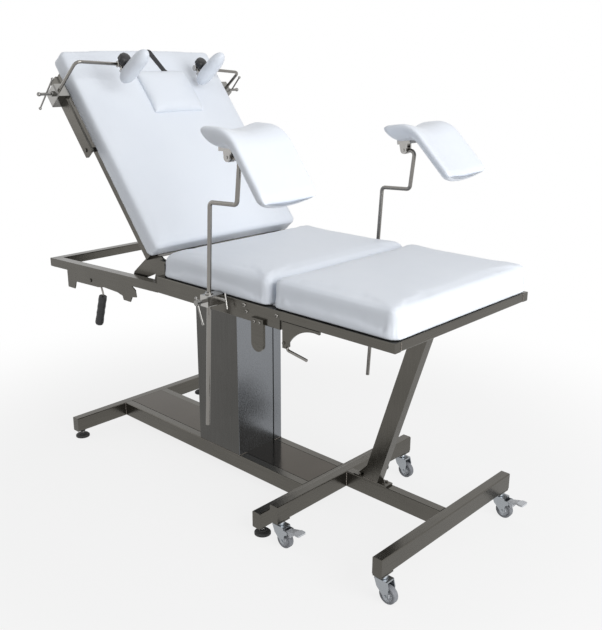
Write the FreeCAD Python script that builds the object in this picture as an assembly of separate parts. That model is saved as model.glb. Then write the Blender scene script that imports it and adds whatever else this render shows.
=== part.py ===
import FreeCAD, Part
import math
import os
from FreeCAD import Placement, Rotation, Vector

# Obstetric delivery table with a wheeled foot section.
# Millimetres.  +X runs to the foot end, +Y to the far side, +Z up.
# The floor is z = 0 and the box of the whole object is centred on X and Y.

os.makedirs("parts", exist_ok=True)

# Overall sizes.
half_width = 300.0            # half the width of the mattress and its frame
mattress_top = 771.0          # height of the seat and foot cushions
frame_top = 690.0             # top of the welded frame, where cushions rest
touch_gap = 0.4               # air between faces that slide past each other
shaft_play = 0.05             # radial air round every pin and rod

# Square and rectangular steel tube used for the frames.
tube_deep = 50.0
tube_wide = 30.0
tube_wall = 2.0
tube_corner = 3.0

# Base.
beam_bottom = 27.0            # underside of the base, on its levelling feet
beam_top = beam_bottom + tube_deep
rear_beam_x = -700.0          # head-end face of the rear cross beam
front_beam_x = 225.0          # head-end face of the front cross beam
box_half = 96.0               # half the width of the base box and column
leveller_y = half_width - 25.0
plate_thick = 3.0

# Column.
column_rear = -243.0
column_front = -50.0
column_sheet = 2.5
column_flange = 34.0          # turned-in flange each side of the front panel
column_cap = 8.0
column_top = frame_top - tube_deep

# Welded frame under the mattress.
seam_x = -166.0               # where the deep seat rails begin
seat_end_x = 338.0
head_end_x = -758.0
head_tube = 28.0              # depth of the lighter head-end tubes
head_fall = 20.5              # drop of the head frame to the head end

# Cushions.
seat_cushion_x = (-151.0, 296.0)
foot_cushion_x = (299.0, 702.0)
edge_round = 20.0
corner_round = 25.0

# Backrest.
# Local frame of the backrest: s down from its top edge, n out of its face.
rest_angle = 51.2
rest_length = 712.0
rest_thick = 60.0
rest_tube = 25.0
rest_tube_outer = half_width - 13.0
rest_tube_end = rest_length - 8.0
hinge_x = -183.2              # the pivot, in the table's frame
hinge_z = 711.8
hinge_s = rest_length + 32.0  # the same pivot, in the backrest's frame
hinge_n = -55.0
hinge_r = 7.0
arm_thick = 6.0
spring_s = hinge_s - 340.0
spring_n = -115.0
pillow_s = (98.0, 256.0)      # down the backrest's face
pillow_y = (-68.0, 130.0)
pillow_thick = 32.0
rest_down = Vector(math.cos(math.radians(rest_angle)), 0,
                   -math.sin(math.radians(rest_angle)))
rest_out = Vector(-rest_down.z, 0, rest_down.x)
rest_top = Vector(hinge_x, 0, hinge_z) - rest_down * hinge_s - rest_out * hinge_n

# Wheeled foot section.
trolley_x = (301.0, 660.0)    # head-end faces of its two cross beams
trolley_half = half_width + 5.0
trolley_z = 80.0
foot_tube = 25.0
foot_x0 = seat_end_x + 0.5
foot_x1 = 699.0
post_foot_x = 392.0
post_head_x = 560.0
post_wide = 52.0              # level cut through the slanted post
caster_y = half_width - 20.0

# Casters.
wheel_r = 25.0
wheel_wide = 18.0
caster_trail = 20.0
fork_inner = 12.0
fork_plate = 3.0

# Leg holders.
leg_lean = 3.3                # degrees that the rods lean to the foot end
leg_rod_r = 6.0
leg_y = half_width + 35.0
socket_z = 681.0
near_socket_x = 107.0
far_socket_x = 146.0
far_drop = 30.0               # how much lower the far rod is set
pad_half = 100.0
pad_thick = 36.0
pad_sag = 25.0
pad_slope = 146.0             # length of the straight fall towards the foot

# Shoulder rests: a post through a rail clamp, an arm and an upright roll.
post_y = -half_width - 34.0
post_r = 5.0
post_length = 175.0
near_post_s = 126.0
far_post_s = 134.0
near_arm_n = 94.0             # the near post is drawn out further
far_arm_n = 43.0
near_arm = 150.0              # from the post to the middle of the knob
far_arm = 176.0
near_turn = 4.2               # degrees that the arms point down the backrest
far_turn = -6.3
near_lean = 5.0               # degrees that the rolls tip down the backrest
far_lean = 1.5
roll_r = 25.0
roll_length = 159.0
roll_reach = 46.0             # from the arm to the middle of the roll


def box(x0, x1, y0, y1, z0, z1):
    """A plain block between two corners."""
    return Part.makeBox(x1 - x0, y1 - y0, z1 - z0, Vector(x0, y0, z0))


def rod(start, end, radius):
    """A round bar between two points."""
    way = end - start
    return Part.makeCylinder(radius, way.Length, start, way)


def mirror_y(shape):
    return shape.mirror(Vector(0, 0, 0), Vector(0, 1, 0))


def pair(shape):
    """The shape and its twin on the other side of the table."""
    return [shape, mirror_y(shape)]


def edges_along(shape, axis):
    """Straight edges parallel to one axis."""
    found = []
    for edge in shape.Edges:
        if isinstance(edge.Curve, Part.Line) and edge.Length > 1e-6:
            way = (edge.Vertexes[-1].Point - edge.Vertexes[0].Point)
            if abs(abs(way.dot(axis)) - way.Length) < 1e-6:
                found.append(edge)
    return found


def tube(x0, x1, y0, y1, z0, z1, axis="x"):
    """Rectangular tube with rounded corners and welded ends."""
    lines = {"x": Vector(1, 0, 0), "y": Vector(0, 1, 0), "z": Vector(0, 0, 1)}
    outer = box(x0, x1, y0, y1, z0, z1)
    outer = outer.makeFillet(tube_corner, edges_along(outer, lines[axis]))
    w = tube_wall
    return outer.cut(box(x0 + w, x1 - w, y0 + w, y1 - w, z0 + w, z1 - w))


def prism(points, y0, y1):
    """Side outline in X and Z, made solid from y0 to y1."""
    wire = Part.makePolygon([Vector(x, y0, z) for x, z in points + points[:1]])
    return Part.Face(wire).extrude(Vector(0, y1 - y0, 0))


def raked_tube(lower, upper, y0, y1):
    """Tube whose side outline is the band between two sloping lines.

    lower and upper are pairs of X, Z points that run the same way.
    """
    outer = prism([lower[0], lower[1], upper[1], upper[0]], y0, y1)
    w = tube_wall
    ring = []
    for (x, z), side_x, side_z in (
        (lower[0], 1, 1), (lower[1], -1, 1), (upper[1], -1, -1), (upper[0], 1, -1),
    ):
        ring.append((x + side_x * w, z + side_z * w))
    return outer.cut(prism(ring, y0 + w, y1 - w))


def bent_rod(points, radius, bend):
    """Round bar along straight runs joined by tangent arcs."""
    edges = []
    start = points[0]
    for i in range(1, len(points) - 1):
        corner = points[i]
        back = (points[i - 1] - corner).normalize()
        on = (points[i + 1] - corner).normalize()
        half = back.getAngle(on) / 2.0
        reach = bend / math.tan(half)
        a = corner + back * reach
        b = corner + on * reach
        middle = (back + on).normalize()
        top = corner + middle * (bend / math.sin(half) - bend)
        edges.append(Part.LineSegment(start, a).toShape())
        edges.append(Part.Arc(a, top, b).toShape())
        start = b
    edges.append(Part.LineSegment(start, points[-1]).toShape())
    path = Part.Wire(edges)
    first = (points[1] - points[0]).normalize()
    ring = Part.Wire(Part.makeCircle(radius, points[0], first))
    return path.makePipeShell([ring], True, True)


def save(name, *shapes):
    """Write one named piece, or one group of like pieces."""
    flat = []
    for shape in shapes:
        flat += shape if isinstance(shape, list) else [shape]
    whole = flat[0] if len(flat) == 1 else Part.makeCompound(flat)
    whole.exportStep("parts/" + name + ".step")


def base_tubes():
    """Two cross beams and the two long members between them."""
    made = []
    for x in (rear_beam_x, front_beam_x):
        beam = tube(x, x + tube_wide, -half_width, half_width,
                    beam_bottom, beam_top, "y")
        for side in (-1, 1):
            hole = Part.makeCylinder(
                5.0 + shaft_play, tube_wall * 3,
                Vector(x + tube_wide / 2, side * leveller_y,
                       beam_bottom - tube_wall))
            beam = beam.cut(hole)
        made.append(beam)
    long_member = tube(rear_beam_x + tube_wide, front_beam_x,
                       -box_half, -box_half + tube_wide,
                       beam_bottom, beam_top)
    return made + pair(long_member)


def leveller(x, y):
    """Screw foot: wide rubber pad, tapered neck, lock nut and stud."""
    pad = [(0, 0), (24, 0), (24, 5), (21, 8), (12, 10), (10, 13), (5, 13), (0, 13)]
    wire = Part.makePolygon([Vector(r, 0, z) for r, z in pad + pad[:1]])
    foot = Part.Face(wire).revolve(Vector(0, 0, 0), Vector(0, 0, 1), 360)
    stud = Part.makeCylinder(5.0, 60.0, Vector(0, 0, 5))
    corners = [
        Vector(9.5 * math.cos(math.radians(60 * k)),
               9.5 * math.sin(math.radians(60 * k)), 19.0)
        for k in range(7)
    ]
    nut = Part.Face(Part.makePolygon(corners)).extrude(Vector(0, 0, 7.7))
    whole = foot.fuse(stud).fuse(nut)
    whole.translate(Vector(x, y, 0))
    return whole


def column_shell():
    """Folded sheet column with turned-in front flanges and a cap."""
    t = column_sheet
    outer = box(column_rear, column_front, -box_half, box_half,
                beam_top, column_top)
    outer = outer.makeFillet(2.0, edges_along(outer, Vector(0, 0, 1)))
    inner = box(column_rear + t, column_front - t, -box_half + t, box_half - t,
                beam_top - 1, column_top - column_cap)
    gap = box_half - column_flange
    front = box(column_front - t - 1, column_front + 1, -gap, gap,
                beam_top - 1, column_top - column_cap)
    return outer.cut(inner).cut(front)


def column_front_panel():
    """Cover panel that closes the column from inside its flanges."""
    t = column_sheet
    return box(column_front - 2 * t, column_front - t,
               -box_half + t + 1, box_half - t - 1,
               beam_top, column_top - column_cap)


def seat_frame():
    deep = frame_top - tube_deep
    rail = tube(seam_x, seat_end_x, -half_width, -half_width + tube_wide,
                deep, frame_top)
    inner = half_width - tube_wide
    cross = []
    for x in (seam_x, column_front - tube_wide, seat_end_x - tube_wide):
        cross.append(tube(x, x + tube_wide, -inner, inner, deep, frame_top, "y"))
    return pair(rail) + cross


def head_bottom(x):
    """Height of the underside of the sloping head frame at x."""
    way = (seam_x - x) / (seam_x - head_end_x)
    return frame_top - tube_deep - head_fall * way


def head_frame():
    x0 = head_end_x + tube_wide
    lower = [(x0, head_bottom(x0)), (seam_x, head_bottom(seam_x))]
    upper = [(x, z + head_tube) for x, z in lower]
    rail = raked_tube(lower, upper, -half_width, -half_width + tube_wide)
    z0 = head_bottom(head_end_x + tube_wide / 2)
    end = tube(head_end_x, x0, -half_width, half_width, z0, z0 + head_tube, "y")
    return pair(rail) + [end]


def cushion_block(x0, x1, z0, z1):
    """Upholstered block with rounded corners and top edges."""
    block = box(x0, x1, -half_width + 1, half_width - 1, z0, z1)
    block = block.makeFillet(corner_round, edges_along(block, Vector(0, 0, 1)))
    top = []
    for edge in block.Edges:
        z_low = min(v.Point.z for v in edge.Vertexes)
        if z_low > z1 - 1e-3:
            top.append(edge)
    return block.makeFillet(edge_round, top)


def rest_point(s, n, y=0.0):
    """A point of the backrest's own frame, in the table's frame."""
    return rest_top + rest_down * s + rest_out * n + Vector(0, y, 0)


def to_rest(shape):
    """Carry a shape made in the backrest's frame to its raised place."""
    shape.Placement = Placement(
        rest_top, Rotation(Vector(0, 1, 0), rest_angle)).multiply(shape.Placement)
    return shape


def hinge_brackets():
    """Fixed cheeks with their pivot pins, and the spring's lower lug."""
    p = rest_point(hinge_s, hinge_n)
    inner = half_width - tube_wide
    front = seam_x - touch_gap
    cheek = prism([(-222, 652), (p.x - 18, p.z), (p.x + 18, p.z),
                   (front, frame_top), (front, 652)], -inner, -inner + 6)
    round_top = Part.makeCylinder(18, 6, Vector(p.x, -inner, p.z), Vector(0, 1, 0))
    pin = Part.makeCylinder(hinge_r, 17, Vector(p.x, -inner, p.z), Vector(0, 1, 0))
    head = Part.makeCylinder(hinge_r + 3, 3,
                             Vector(p.x, -inner + 15, p.z), Vector(0, 1, 0))
    cheek = cheek.fuse(round_top).fuse(pin).fuse(head)
    lug_x = column_rear - 25.0
    ear = prism([(column_rear, 500), (lug_x, 513), (lug_x, 535),
                 (column_rear, 532)], 8, 12)
    ear = ear.fuse(Part.makeCylinder(12, 4, Vector(lug_x, 8, 524), Vector(0, 1, 0)))
    lug_pin = Part.makeCylinder(4, 24, Vector(lug_x, -12, 524), Vector(0, 1, 0))
    lug = ear.fuse(mirror_y(ear)).fuse(lug_pin)
    return pair(cheek) + [lug]


def lever_bracket():
    """Bracket plate with two lugs, hung under the near head rail."""
    low = 597.0
    points = [
        (-656, head_bottom(-656)), (-656, 566), (-617, 566), (-611, 578),
        (-607, low - 5), (-478, low), (-446, low + 6), (-372, low + 4),
        (-345, low - 2), (-341, 583), (-306, 583), (-296, 600),
        (-273, 604), (-277, 626), (-294, head_bottom(-294)),
    ]
    plate = prism(points, -half_width, -half_width + 3)
    pivot = Vector(-520, -half_width + 3, 612)
    pin = Part.makeCylinder(4, 12, pivot, Vector(0, 1, 0))
    head = Part.makeCylinder(6, 3, pivot - Vector(0, 6, 0), Vector(0, 1, 0))
    return plate.fuse(pin).fuse(head)


def release_lever():
    """Bent wire lever with an eye on the bracket's pivot."""
    y = -half_width + 9
    pivot = Vector(-520, y, 612)
    eye = Part.makeCylinder(9, 8, pivot - Vector(0, 4, 0), Vector(0, 1, 0))
    bar = bent_rod([pivot, Vector(-476, y, 604), Vector(-465, y, 576),
                    Vector(-494.25, y, 488.26)], 3.0, 9.0)
    bore = Part.makeCylinder(4 + shaft_play, 30, pivot - Vector(0, 15, 0),
                             Vector(0, 1, 0))
    return eye.fuse(bar).cut(bore)


def release_grip():
    """Black moulded grip with finger swells on the lever's end."""
    y = -half_width + 9
    top = Vector(-468, y, 567)
    foot = Vector(-501, y, 468)
    way = foot - top
    length = way.Length
    outline = [Vector(3, 0, 0), Vector(12.5, 0, 0)]
    swells = 4
    for k in range(1, 2 * swells):
        r = 13.4 if k % 2 else 12.4
        outline.append(Vector(r, 0, length * 0.94 * k / (2 * swells)))
    outline += [Vector(13.5, 0, length * 0.95), Vector(11.5, 0, length)]
    outline += [Vector(0, 0, length), Vector(0, 0, 84.0), Vector(3, 0, 84.0)]
    wire = Part.makePolygon(outline + outline[:1])
    grip = Part.Face(wire).revolve(Vector(0, 0, 0), Vector(0, 0, 1), 360)
    grip.Placement = Placement(top, Rotation(Vector(0, 0, 1), way))
    return grip


def dock_tongue():
    """Hanging guide plate with a round foot, on the rail's outer face."""
    x0, x1 = 240.0, 285.0
    r = (x1 - x0) / 2
    plate = box(x0, x1, -half_width - 8, -half_width, 588, 656)
    foot = Part.makeCylinder(r, 8, Vector(x0 + r, -half_width - 8, 588),
                             Vector(0, 1, 0))
    return plate.fuse(foot)


def bolt_head(x, y, z, r, high):
    """Domed screw head that stands out of the near side."""
    head = Part.makeCylinder(r, high, Vector(x, y, z), Vector(0, -1, 0))
    rim = [e for e in head.Edges
           if isinstance(e.Curve, Part.Circle) and e.Curve.Center.y < y - high / 2]
    return head.makeFillet(high * 0.6, rim)


def rail_bolts():
    made = []
    for x, z, r in ((207, 680, 6.0), (216, 664, 5.0), (327, 676, 5.5)):
        made += pair(bolt_head(x, -half_width, z, r, 4.0))
    for x in (253, 272):
        made += pair(bolt_head(x, -half_width - 8, 647, 4.5, 3.5))
    return made


def lean_way():
    a = math.radians(leg_lean)
    return Vector(math.sin(a), 0, math.cos(a))


def socket_x(side):
    return near_socket_x if side < 0 else far_socket_x


def leg_clamp(side):
    """Socket block on the rail, with a small side screw."""
    x = socket_x(side)
    block = box(x - 16, x + 16, -half_width - 52, -half_width, 665, 697)
    long_edges = edges_along(block, Vector(0, 1, 0))
    block = block.makeFillet(4.0, long_edges)
    at = Vector(x, -leg_y, socket_z)
    block = block.cut(rod(at - lean_way() * 40, at + lean_way() * 40,
                          leg_rod_r + 3 + shaft_play))
    block = block.cut(rod(Vector(x, -half_width - 60, socket_z),
                          Vector(x, -leg_y - 4, socket_z), 5 + shaft_play))
    screw = rod(Vector(x + 15, -half_width - 14, socket_z + 3),
                Vector(x + 46, -half_width - 14, socket_z + 3), 3.5)
    bar = rod(Vector(x + 41, -half_width - 14, socket_z + 22),
              Vector(x + 49, -half_width - 14, socket_z - 20), 2.2)
    block = block.fuse(screw).fuse(bar)
    return block if side < 0 else mirror_y(block)


def rod_bush(side):
    """Sleeve that turns in the socket and lets the rod slide."""
    at = Vector(socket_x(side), side * leg_y, socket_z)
    low = at - lean_way() * 17
    high = at + lean_way() * 17.5
    sleeve = rod(low, high, leg_rod_r + 3)
    collar = rod(high, high + lean_way() * 4, leg_rod_r + 5)
    bore = rod(low - lean_way() * 5, high + lean_way() * 10,
               leg_rod_r + shaft_play)
    return sleeve.fuse(collar).cut(bore)


def clamp_handle(side):
    """Clamp screw with a lever that hangs from its end."""
    x = socket_x(side)
    tip = Vector(x, -leg_y - leg_rod_r - 3 - 0.5, socket_z)
    end = Vector(x, -half_width - 81, socket_z)
    screw = rod(tip, end, 5.0)
    boss = rod(end + Vector(0, 12, 0), end, 8.0)
    pin_y = end.y + 6
    high = Vector(x - 5, pin_y, socket_z + 12)
    low = Vector(x + 20, pin_y, socket_z - 54)
    lever = rod(high, low, 3.0)
    whole = screw.fuse(boss).fuse(lever)
    for tip_ball in (high, low):
        whole = whole.fuse(Part.makeSphere(4.5, tip_ball))
    return whole if side < 0 else mirror_y(whole)


def leg_path(side):
    """Corner points of the bent rod, and the eye's centre last."""
    x = socket_x(side)
    drop = 0.0 if side < 0 else far_drop
    shape = [(0, 311), (16, 945), (118, 950), (131, 1064), (98, 1066)]
    path = [Vector(x + dx, side * leg_y, z - drop) for dx, z in shape]
    lean = math.tan(math.radians(leg_lean))
    for point in path[:2]:
        point.x = x - (socket_z - point.z) * lean
    return path


def leg_rod(side):
    points = leg_path(side)
    bar = bent_rod(points, leg_rod_r, 13.0)
    eye = Part.makeCylinder(12, 14, points[-1] - Vector(0, 7, 0), Vector(0, 1, 0))
    bore = Part.makeCylinder(4 + shaft_play, 30, points[-1] - Vector(0, 15, 0),
                             Vector(0, 1, 0))
    return bar.fuse(eye).cut(bore)


def leg_pad_raw():
    """Saddle pad: a curved section swept level, round a bend and down.

    Made about the near eye's place, before the far pad is tipped.
    """
    eye = leg_path(-1)[-1]
    x, y, z = eye.x - 7, -leg_y, eye.z + 51
    bend_r = 70.0
    fall = math.radians(52)
    level, slope = 58.0, pad_slope
    a = Vector(x, y, z)
    b = Vector(x + level, y, z)
    hub = Vector(b.x, y, z - bend_r)
    mid = hub + Vector(math.sin(fall / 2), 0, math.cos(fall / 2)) * bend_r
    c = hub + Vector(math.sin(fall), 0, math.cos(fall)) * bend_r
    d = c + Vector(math.cos(fall), 0, -math.sin(fall)) * slope
    path = Part.Wire([
        Part.LineSegment(a, b).toShape(),
        Part.Arc(b, mid, c).toShape(),
        Part.LineSegment(c, d).toShape(),
    ])
    t, sag = pad_thick, pad_sag
    h = pad_half - t * 0.35

    def at(across, up):
        return Vector(x, y + across, z + up)

    section = Part.Wire([
        Part.Arc(at(-h, t), at(0, t - sag), at(h, t)).toShape(),
        Part.Arc(at(h, t), at(h + t * 0.35, t * 0.45), at(h - 6, 0)).toShape(),
        Part.Arc(at(h - 6, 0), at(0, -sag), at(6 - h, 0)).toShape(),
        Part.Arc(at(6 - h, 0), at(-h - t * 0.35, t * 0.45), at(-h, t)).toShape(),
    ])
    return path.makePipeShell([section], True, True)


def leg_bracket_raw(pad):
    """Clevis on the rod's eye with a plate shaped to the pad."""
    eye = leg_path(-1)[-1]
    x, y, z = eye.x, -leg_y, eye.z
    ear = prism([(x - 11, z), (x + 11, z), (x + 14, z + 30), (x - 14, z + 30)],
                y + 8, y + 13)
    ear = ear.fuse(Part.makeCylinder(11, 5, Vector(x, y + 8, z), Vector(0, 1, 0)))
    other = ear.copy()
    other.translate(Vector(0, -21, 0))
    pin = Part.makeCylinder(4, 30, Vector(x, y - 15, z), Vector(0, 1, 0))
    plate = box(x - 5, x + 45, y - 38, y + 38, z + 18, z + 44)
    plate = plate.makeFillet(6, edges_along(plate, Vector(0, 0, 1)))
    saddle = plate.cut(pad)
    saddle = max(saddle.Solids, key=lambda part: part.Volume
                 if part.CenterOfMass.z < z + 40 else 0)
    return saddle.fuse(ear.cut(pad)).fuse(other.cut(pad)).fuse(pin)


def place_leg(shape, side):
    """Carry a near-side leg piece to its side, tipping the far one."""
    if side < 0:
        return shape
    near = leg_path(-1)[-1]
    far = leg_path(1)[-1]
    moved = mirror_y(shape)
    moved.translate(Vector(far.x - near.x, 0, far.z - near.z))
    moved.rotate(far, Vector(0, 1, 0), -8.0)
    return moved


def rest_frame():
    """Side tubes and three cross tubes behind the backrest cushion."""
    y1 = rest_tube_outer
    y0 = y1 - rest_tube
    n0, n1 = -rest_thick - rest_tube, -rest_thick
    side = tube(45, rest_tube_end, -y1, -y0, n0, n1)
    made = pair(side)
    lowest = rest_tube_end - rest_tube
    for s, short in ((45, 0), (spring_s, 0), (lowest, arm_thick)):
        made.append(tube(s, s + rest_tube, short - y0, y0 - short, n0, n1, "y"))
    return [to_rest(part) for part in made]


def hinge_arms():
    """Cheek arms with a long tail, and the spring's upper lug."""
    inner = rest_tube_outer - rest_tube
    rear = -rest_thick - rest_tube
    end = rest_tube_end
    points = [
        (end - 60, rear + 1), (end - 60, rear + 19), (end, rear + 19),
        (end + 12, hinge_n + 8), (hinge_s, hinge_n + 20), (hinge_s + 8, hinge_n),
        (hinge_s + 4, hinge_n - 24), (hinge_s - 2, hinge_n - 60),
        (end + 12, rear - 123), (end - 12, rear - 123), (end - 18, rear - 111),
        (end - 18, rear - 22), (end - 34, rear - 4),
    ]
    arm = prism(points, -inner, -inner + arm_thick)
    arm = arm.fuse(Part.makeCylinder(20, arm_thick, Vector(hinge_s, -inner, hinge_n),
                                     Vector(0, 1, 0)))
    arm = arm.cut(Part.makeCylinder(hinge_r + shaft_play, 30,
                                    Vector(hinge_s, -inner - 10, hinge_n),
                                    Vector(0, 1, 0)))
    ear = prism([(spring_s - 12, rear), (spring_s + 24, rear),
                 (spring_s + 11, spring_n), (spring_s - 11, spring_n)], 7, 11)
    ear = ear.fuse(Part.makeCylinder(11, 4, Vector(spring_s, 7, spring_n),
                                     Vector(0, 1, 0)))
    ear = ear.cut(Part.makeCylinder(4, 30, Vector(spring_s, -5, spring_n),
                                    Vector(0, 1, 0)))
    return [to_rest(part) for part in pair(arm) + pair(ear)]


def rest_cushion_raw(grow=0.0):
    """Backrest block in its own frame; grow thickens it all round."""
    block = box(-grow, rest_length, -half_width + 1, half_width - 1,
                -rest_thick - grow, grow)
    if grow == 0.0:
        block = block.makeFillet(18.0, edges_along(block, Vector(0, 0, 1)))
        rim = [e for e in block.Edges
               if min(v.Point.z for v in e.Vertexes) > -1e-3
               or max(v.Point.z for v in e.Vertexes) < -rest_thick + 1e-3]
        return block.makeFillet(14.0, rim)
    top = [e for e in edges_along(block, Vector(0, 1, 0))
           if e.Vertexes[0].Point.x < 1]
    return block.makeFillet(14.0 + grow, top)


def rest_cushion():
    return to_rest(rest_cushion_raw())


def accessory_rail():
    """Flat side rail on two round stand-offs."""
    y1 = -half_width - 20
    bar = box(70, 341, y1, y1 + 8, -85, -45)
    bar = bar.makeFillet(4.0, edges_along(bar, Vector(0, 1, 0)))
    whole = bar
    for s in (92, 322):
        stand = Part.makeCylinder(7, half_width + 12 - rest_tube_outer,
                                  Vector(s, -half_width - 12, -70), Vector(0, 1, 0))
        head = Part.makeCylinder(6, 3, Vector(s, y1, -70), Vector(0, -1, 0))
        whole = whole.fuse(stand)
        if s > 200:
            whole = whole.fuse(head)
    return to_rest(whole)


def shoulder_place(side):
    """Where a post stands on its rail, and how high, long and turned its arm is."""
    if side < 0:
        return near_post_s, near_arm_n, near_arm, near_turn
    return far_post_s, far_arm_n, far_arm, far_turn


def swing_arm(shape, side):
    """Turn an arm's piece about its post, then carry it to its side."""
    s, n, arm, turn = shoulder_place(side)
    shape.rotate(Vector(s, post_y, 0), Vector(0, 0, 1), -turn)
    return to_rest(shape if side < 0 else mirror_y(shape))


def shoulder_clamp(side):
    """C-shaped slider on the rail, with a ball-ended screw and tommy bar."""
    s = shoulder_place(side)[0]
    y0, y1 = post_y - 13, -half_width - 4
    block = box(s - 22, s + 22, y0, y1, -93, -37)
    block = block.makeFillet(5.0, edges_along(block, Vector(1, 0, 0)))
    g = touch_gap
    groove = box(s - 30, s + 30, -half_width - 20 - g, -half_width - 12 + g,
                 -85 - g, -45 + g)
    mouth = box(s - 30, s + 30, -half_width - 14, y1 + 5, -78.5, -54)
    block = block.cut(groove).cut(mouth)
    hole = rod(Vector(s, post_y, -120), Vector(s, post_y, 0), post_r + shaft_play)
    block = block.cut(hole)
    boss = rod(Vector(s, y0 + 3, -56), Vector(s, y0 - 9, -56), 8.0)
    screw = rod(Vector(s, y0 + 3, -56), Vector(s, y0 - 46, -56), 4.5)
    ball = Part.makeSphere(6.5, Vector(s, y0 - 48, -56))
    low = Vector(s + 8, y0 - 24, -116)
    high = Vector(s - 8, y0 - 24, 4)
    bar = rod(low, high, 2.6)
    block = block.fuse(boss.cut(hole)).fuse(screw.cut(hole)).fuse(ball).fuse(bar)
    for end in (low, high):
        block = block.fuse(Part.makeSphere(4.6, end))
    return to_rest(block if side < 0 else mirror_y(block))


def shoulder_rod(side):
    """Round rod: a post through the clamp and an arm over the backrest."""
    s, n, arm, turn = shoulder_place(side)
    bar = bent_rod([Vector(s, post_y, n - post_length), Vector(s, post_y, n),
                    Vector(s, post_y + arm + 12, n)], post_r, 16.0)
    return swing_arm(bar, side)


def tip_on_arm(shape, side):
    """Turn what slides on the arm a little about the arm's own axis."""
    s, n, arm, turn = shoulder_place(side)
    shape.rotate(Vector(s, post_y, n), Vector(0, 1, 0),
                 near_lean if side < 0 else far_lean)
    return shape


def shoulder_pad_raw(side):
    """Upright roll with rounded ends, before the arm is turned."""
    s, n, arm, turn = shoulder_place(side)
    foot = Vector(s + roll_reach, post_y + arm, n - 21)
    roll = Part.makeCylinder(roll_r, roll_length, foot)
    roll = roll.makeFillet(roll_r - 3, [e for e in roll.Edges
                                        if isinstance(e.Curve, Part.Circle)])
    return tip_on_arm(roll, side)


def shoulder_pad(side):
    return swing_arm(shoulder_pad_raw(side), side)


def shoulder_knob(side):
    """Sleeve that slides on the arm, its stub to the roll and a domed knob."""
    s, n, arm, turn = shoulder_place(side)
    at = Vector(s, post_y + arm, n)
    along = Vector(0, 14, 0)
    sleeve = rod(at - along, at + along, 9.0)
    stub = rod(at, at + Vector(roll_reach - 10, 0, 0), 7.0)
    neck = rod(at, at + Vector(0, 0, 16), 6.0)
    r, low, rim, top = 19.0, 14.0, 24.0, 35.0
    ball_r = (r * r + (top - rim) ** 2) / (2 * (top - rim))
    half = math.asin(r / ball_r) / 2
    mid = Vector(ball_r * math.sin(half), 0, top - ball_r + ball_r * math.cos(half))
    foot, under, edge = Vector(0, 0, low), Vector(r - 5, 0, low), Vector(r, 0, low + 4)
    crest, crown = Vector(r, 0, rim), Vector(0, 0, top)
    dome = Part.Wire([
        Part.LineSegment(foot, under).toShape(),
        Part.LineSegment(under, edge).toShape(),
        Part.LineSegment(edge, crest).toShape(),
        Part.Arc(crest, mid, crown).toShape(),
        Part.LineSegment(crown, foot).toShape(),
    ])
    knob = Part.Face(dome).revolve(Vector(0, 0, 0), Vector(0, 0, 1), 360)
    for k in range(7):
        a = math.radians(360 * k / 7)
        knob = knob.cut(Part.makeCylinder(
            4.0, 16, Vector(21.5 * math.cos(a), 21.5 * math.sin(a), 12)))
    knob.translate(at)
    hole = rod(at - along * 2, at + along * 2, post_r + shaft_play)
    whole = tip_on_arm(sleeve.fuse(stub).fuse(neck).fuse(knob).cut(hole), side)
    return swing_arm(whole.cut(shoulder_pad_raw(side)), side)


def pillow():
    """Head cushion on the face of the backrest."""
    block = box(*pillow_s, *pillow_y, 0, pillow_thick)
    block = block.makeFillet(22.0, edges_along(block, Vector(0, 0, 1)))
    rim = [e for e in block.Edges
           if min(v.Point.z for v in e.Vertexes) > pillow_thick - 0.1]
    return to_rest(block.makeFillet(14.0, rim))


def pillow_strap():
    """Elastic band from the pillow over the backrest's top edge."""
    outer = rest_cushion_raw(2.0)
    inner = rest_cushion_raw(1e-3)
    band = outer.cut(inner)
    wide = 21.0
    y0, y1 = 19.0, 46.0
    end = pillow_s[0]
    plan = [(-10, y0), (-10, y0 + wide), (0, y0 + wide),
            (end, y1 + wide), (end, y1), (0, y0)]
    wire = Part.makePolygon([Vector(s, y, -20) for s, y in plan + plan[:1]])
    front = Part.Face(wire).extrude(Vector(0, 0, 30))
    back = box(-10, 40, y0, y0 + wide, -70, -20)
    return to_rest(band.common(front.fuse(back)))


def gas_line():
    """Lower pivot, upper pivot and the way between them."""
    low = Vector(column_rear - 25.0, 0, 524)
    high = rest_point(spring_s, spring_n)
    return low, high, (high - low).normalize()


def gas_cylinder():
    """Pressure tube with its lower eye and rod guide."""
    low, high, way = gas_line()
    tube_part = rod(low + way * 15, low + way * 262, 11.0)
    bore = rod(low + way * 20, low + way * 258, 9.5)
    mouth = rod(low + way * 250, low + way * 270, 5 + shaft_play)
    eye = Part.makeCylinder(11, 15, low - Vector(0, 7.5, 0), Vector(0, 1, 0))
    hole = Part.makeCylinder(4 + shaft_play, 30, low - Vector(0, 15, 0),
                             Vector(0, 1, 0))
    neck = rod(low + way * 9, low + way * 16, 7.0)
    return tube_part.cut(bore).cut(mouth).fuse(neck).fuse(eye).cut(hole)


def gas_rod():
    """Piston, rod and open upper eye."""
    low, high, way = gas_line()
    bar = rod(high - way * 272, high, 5.0)
    piston = rod(high - way * 272, high - way * 262, 9.4)
    eye = Part.makeCylinder(9, 11, high - Vector(0, 5.5, 0), Vector(0, 1, 0))
    hole = Part.makeCylinder(4 + shaft_play, 30, high - Vector(0, 15, 0),
                             Vector(0, 1, 0))
    return bar.fuse(piston).fuse(eye).cut(hole)


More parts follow.
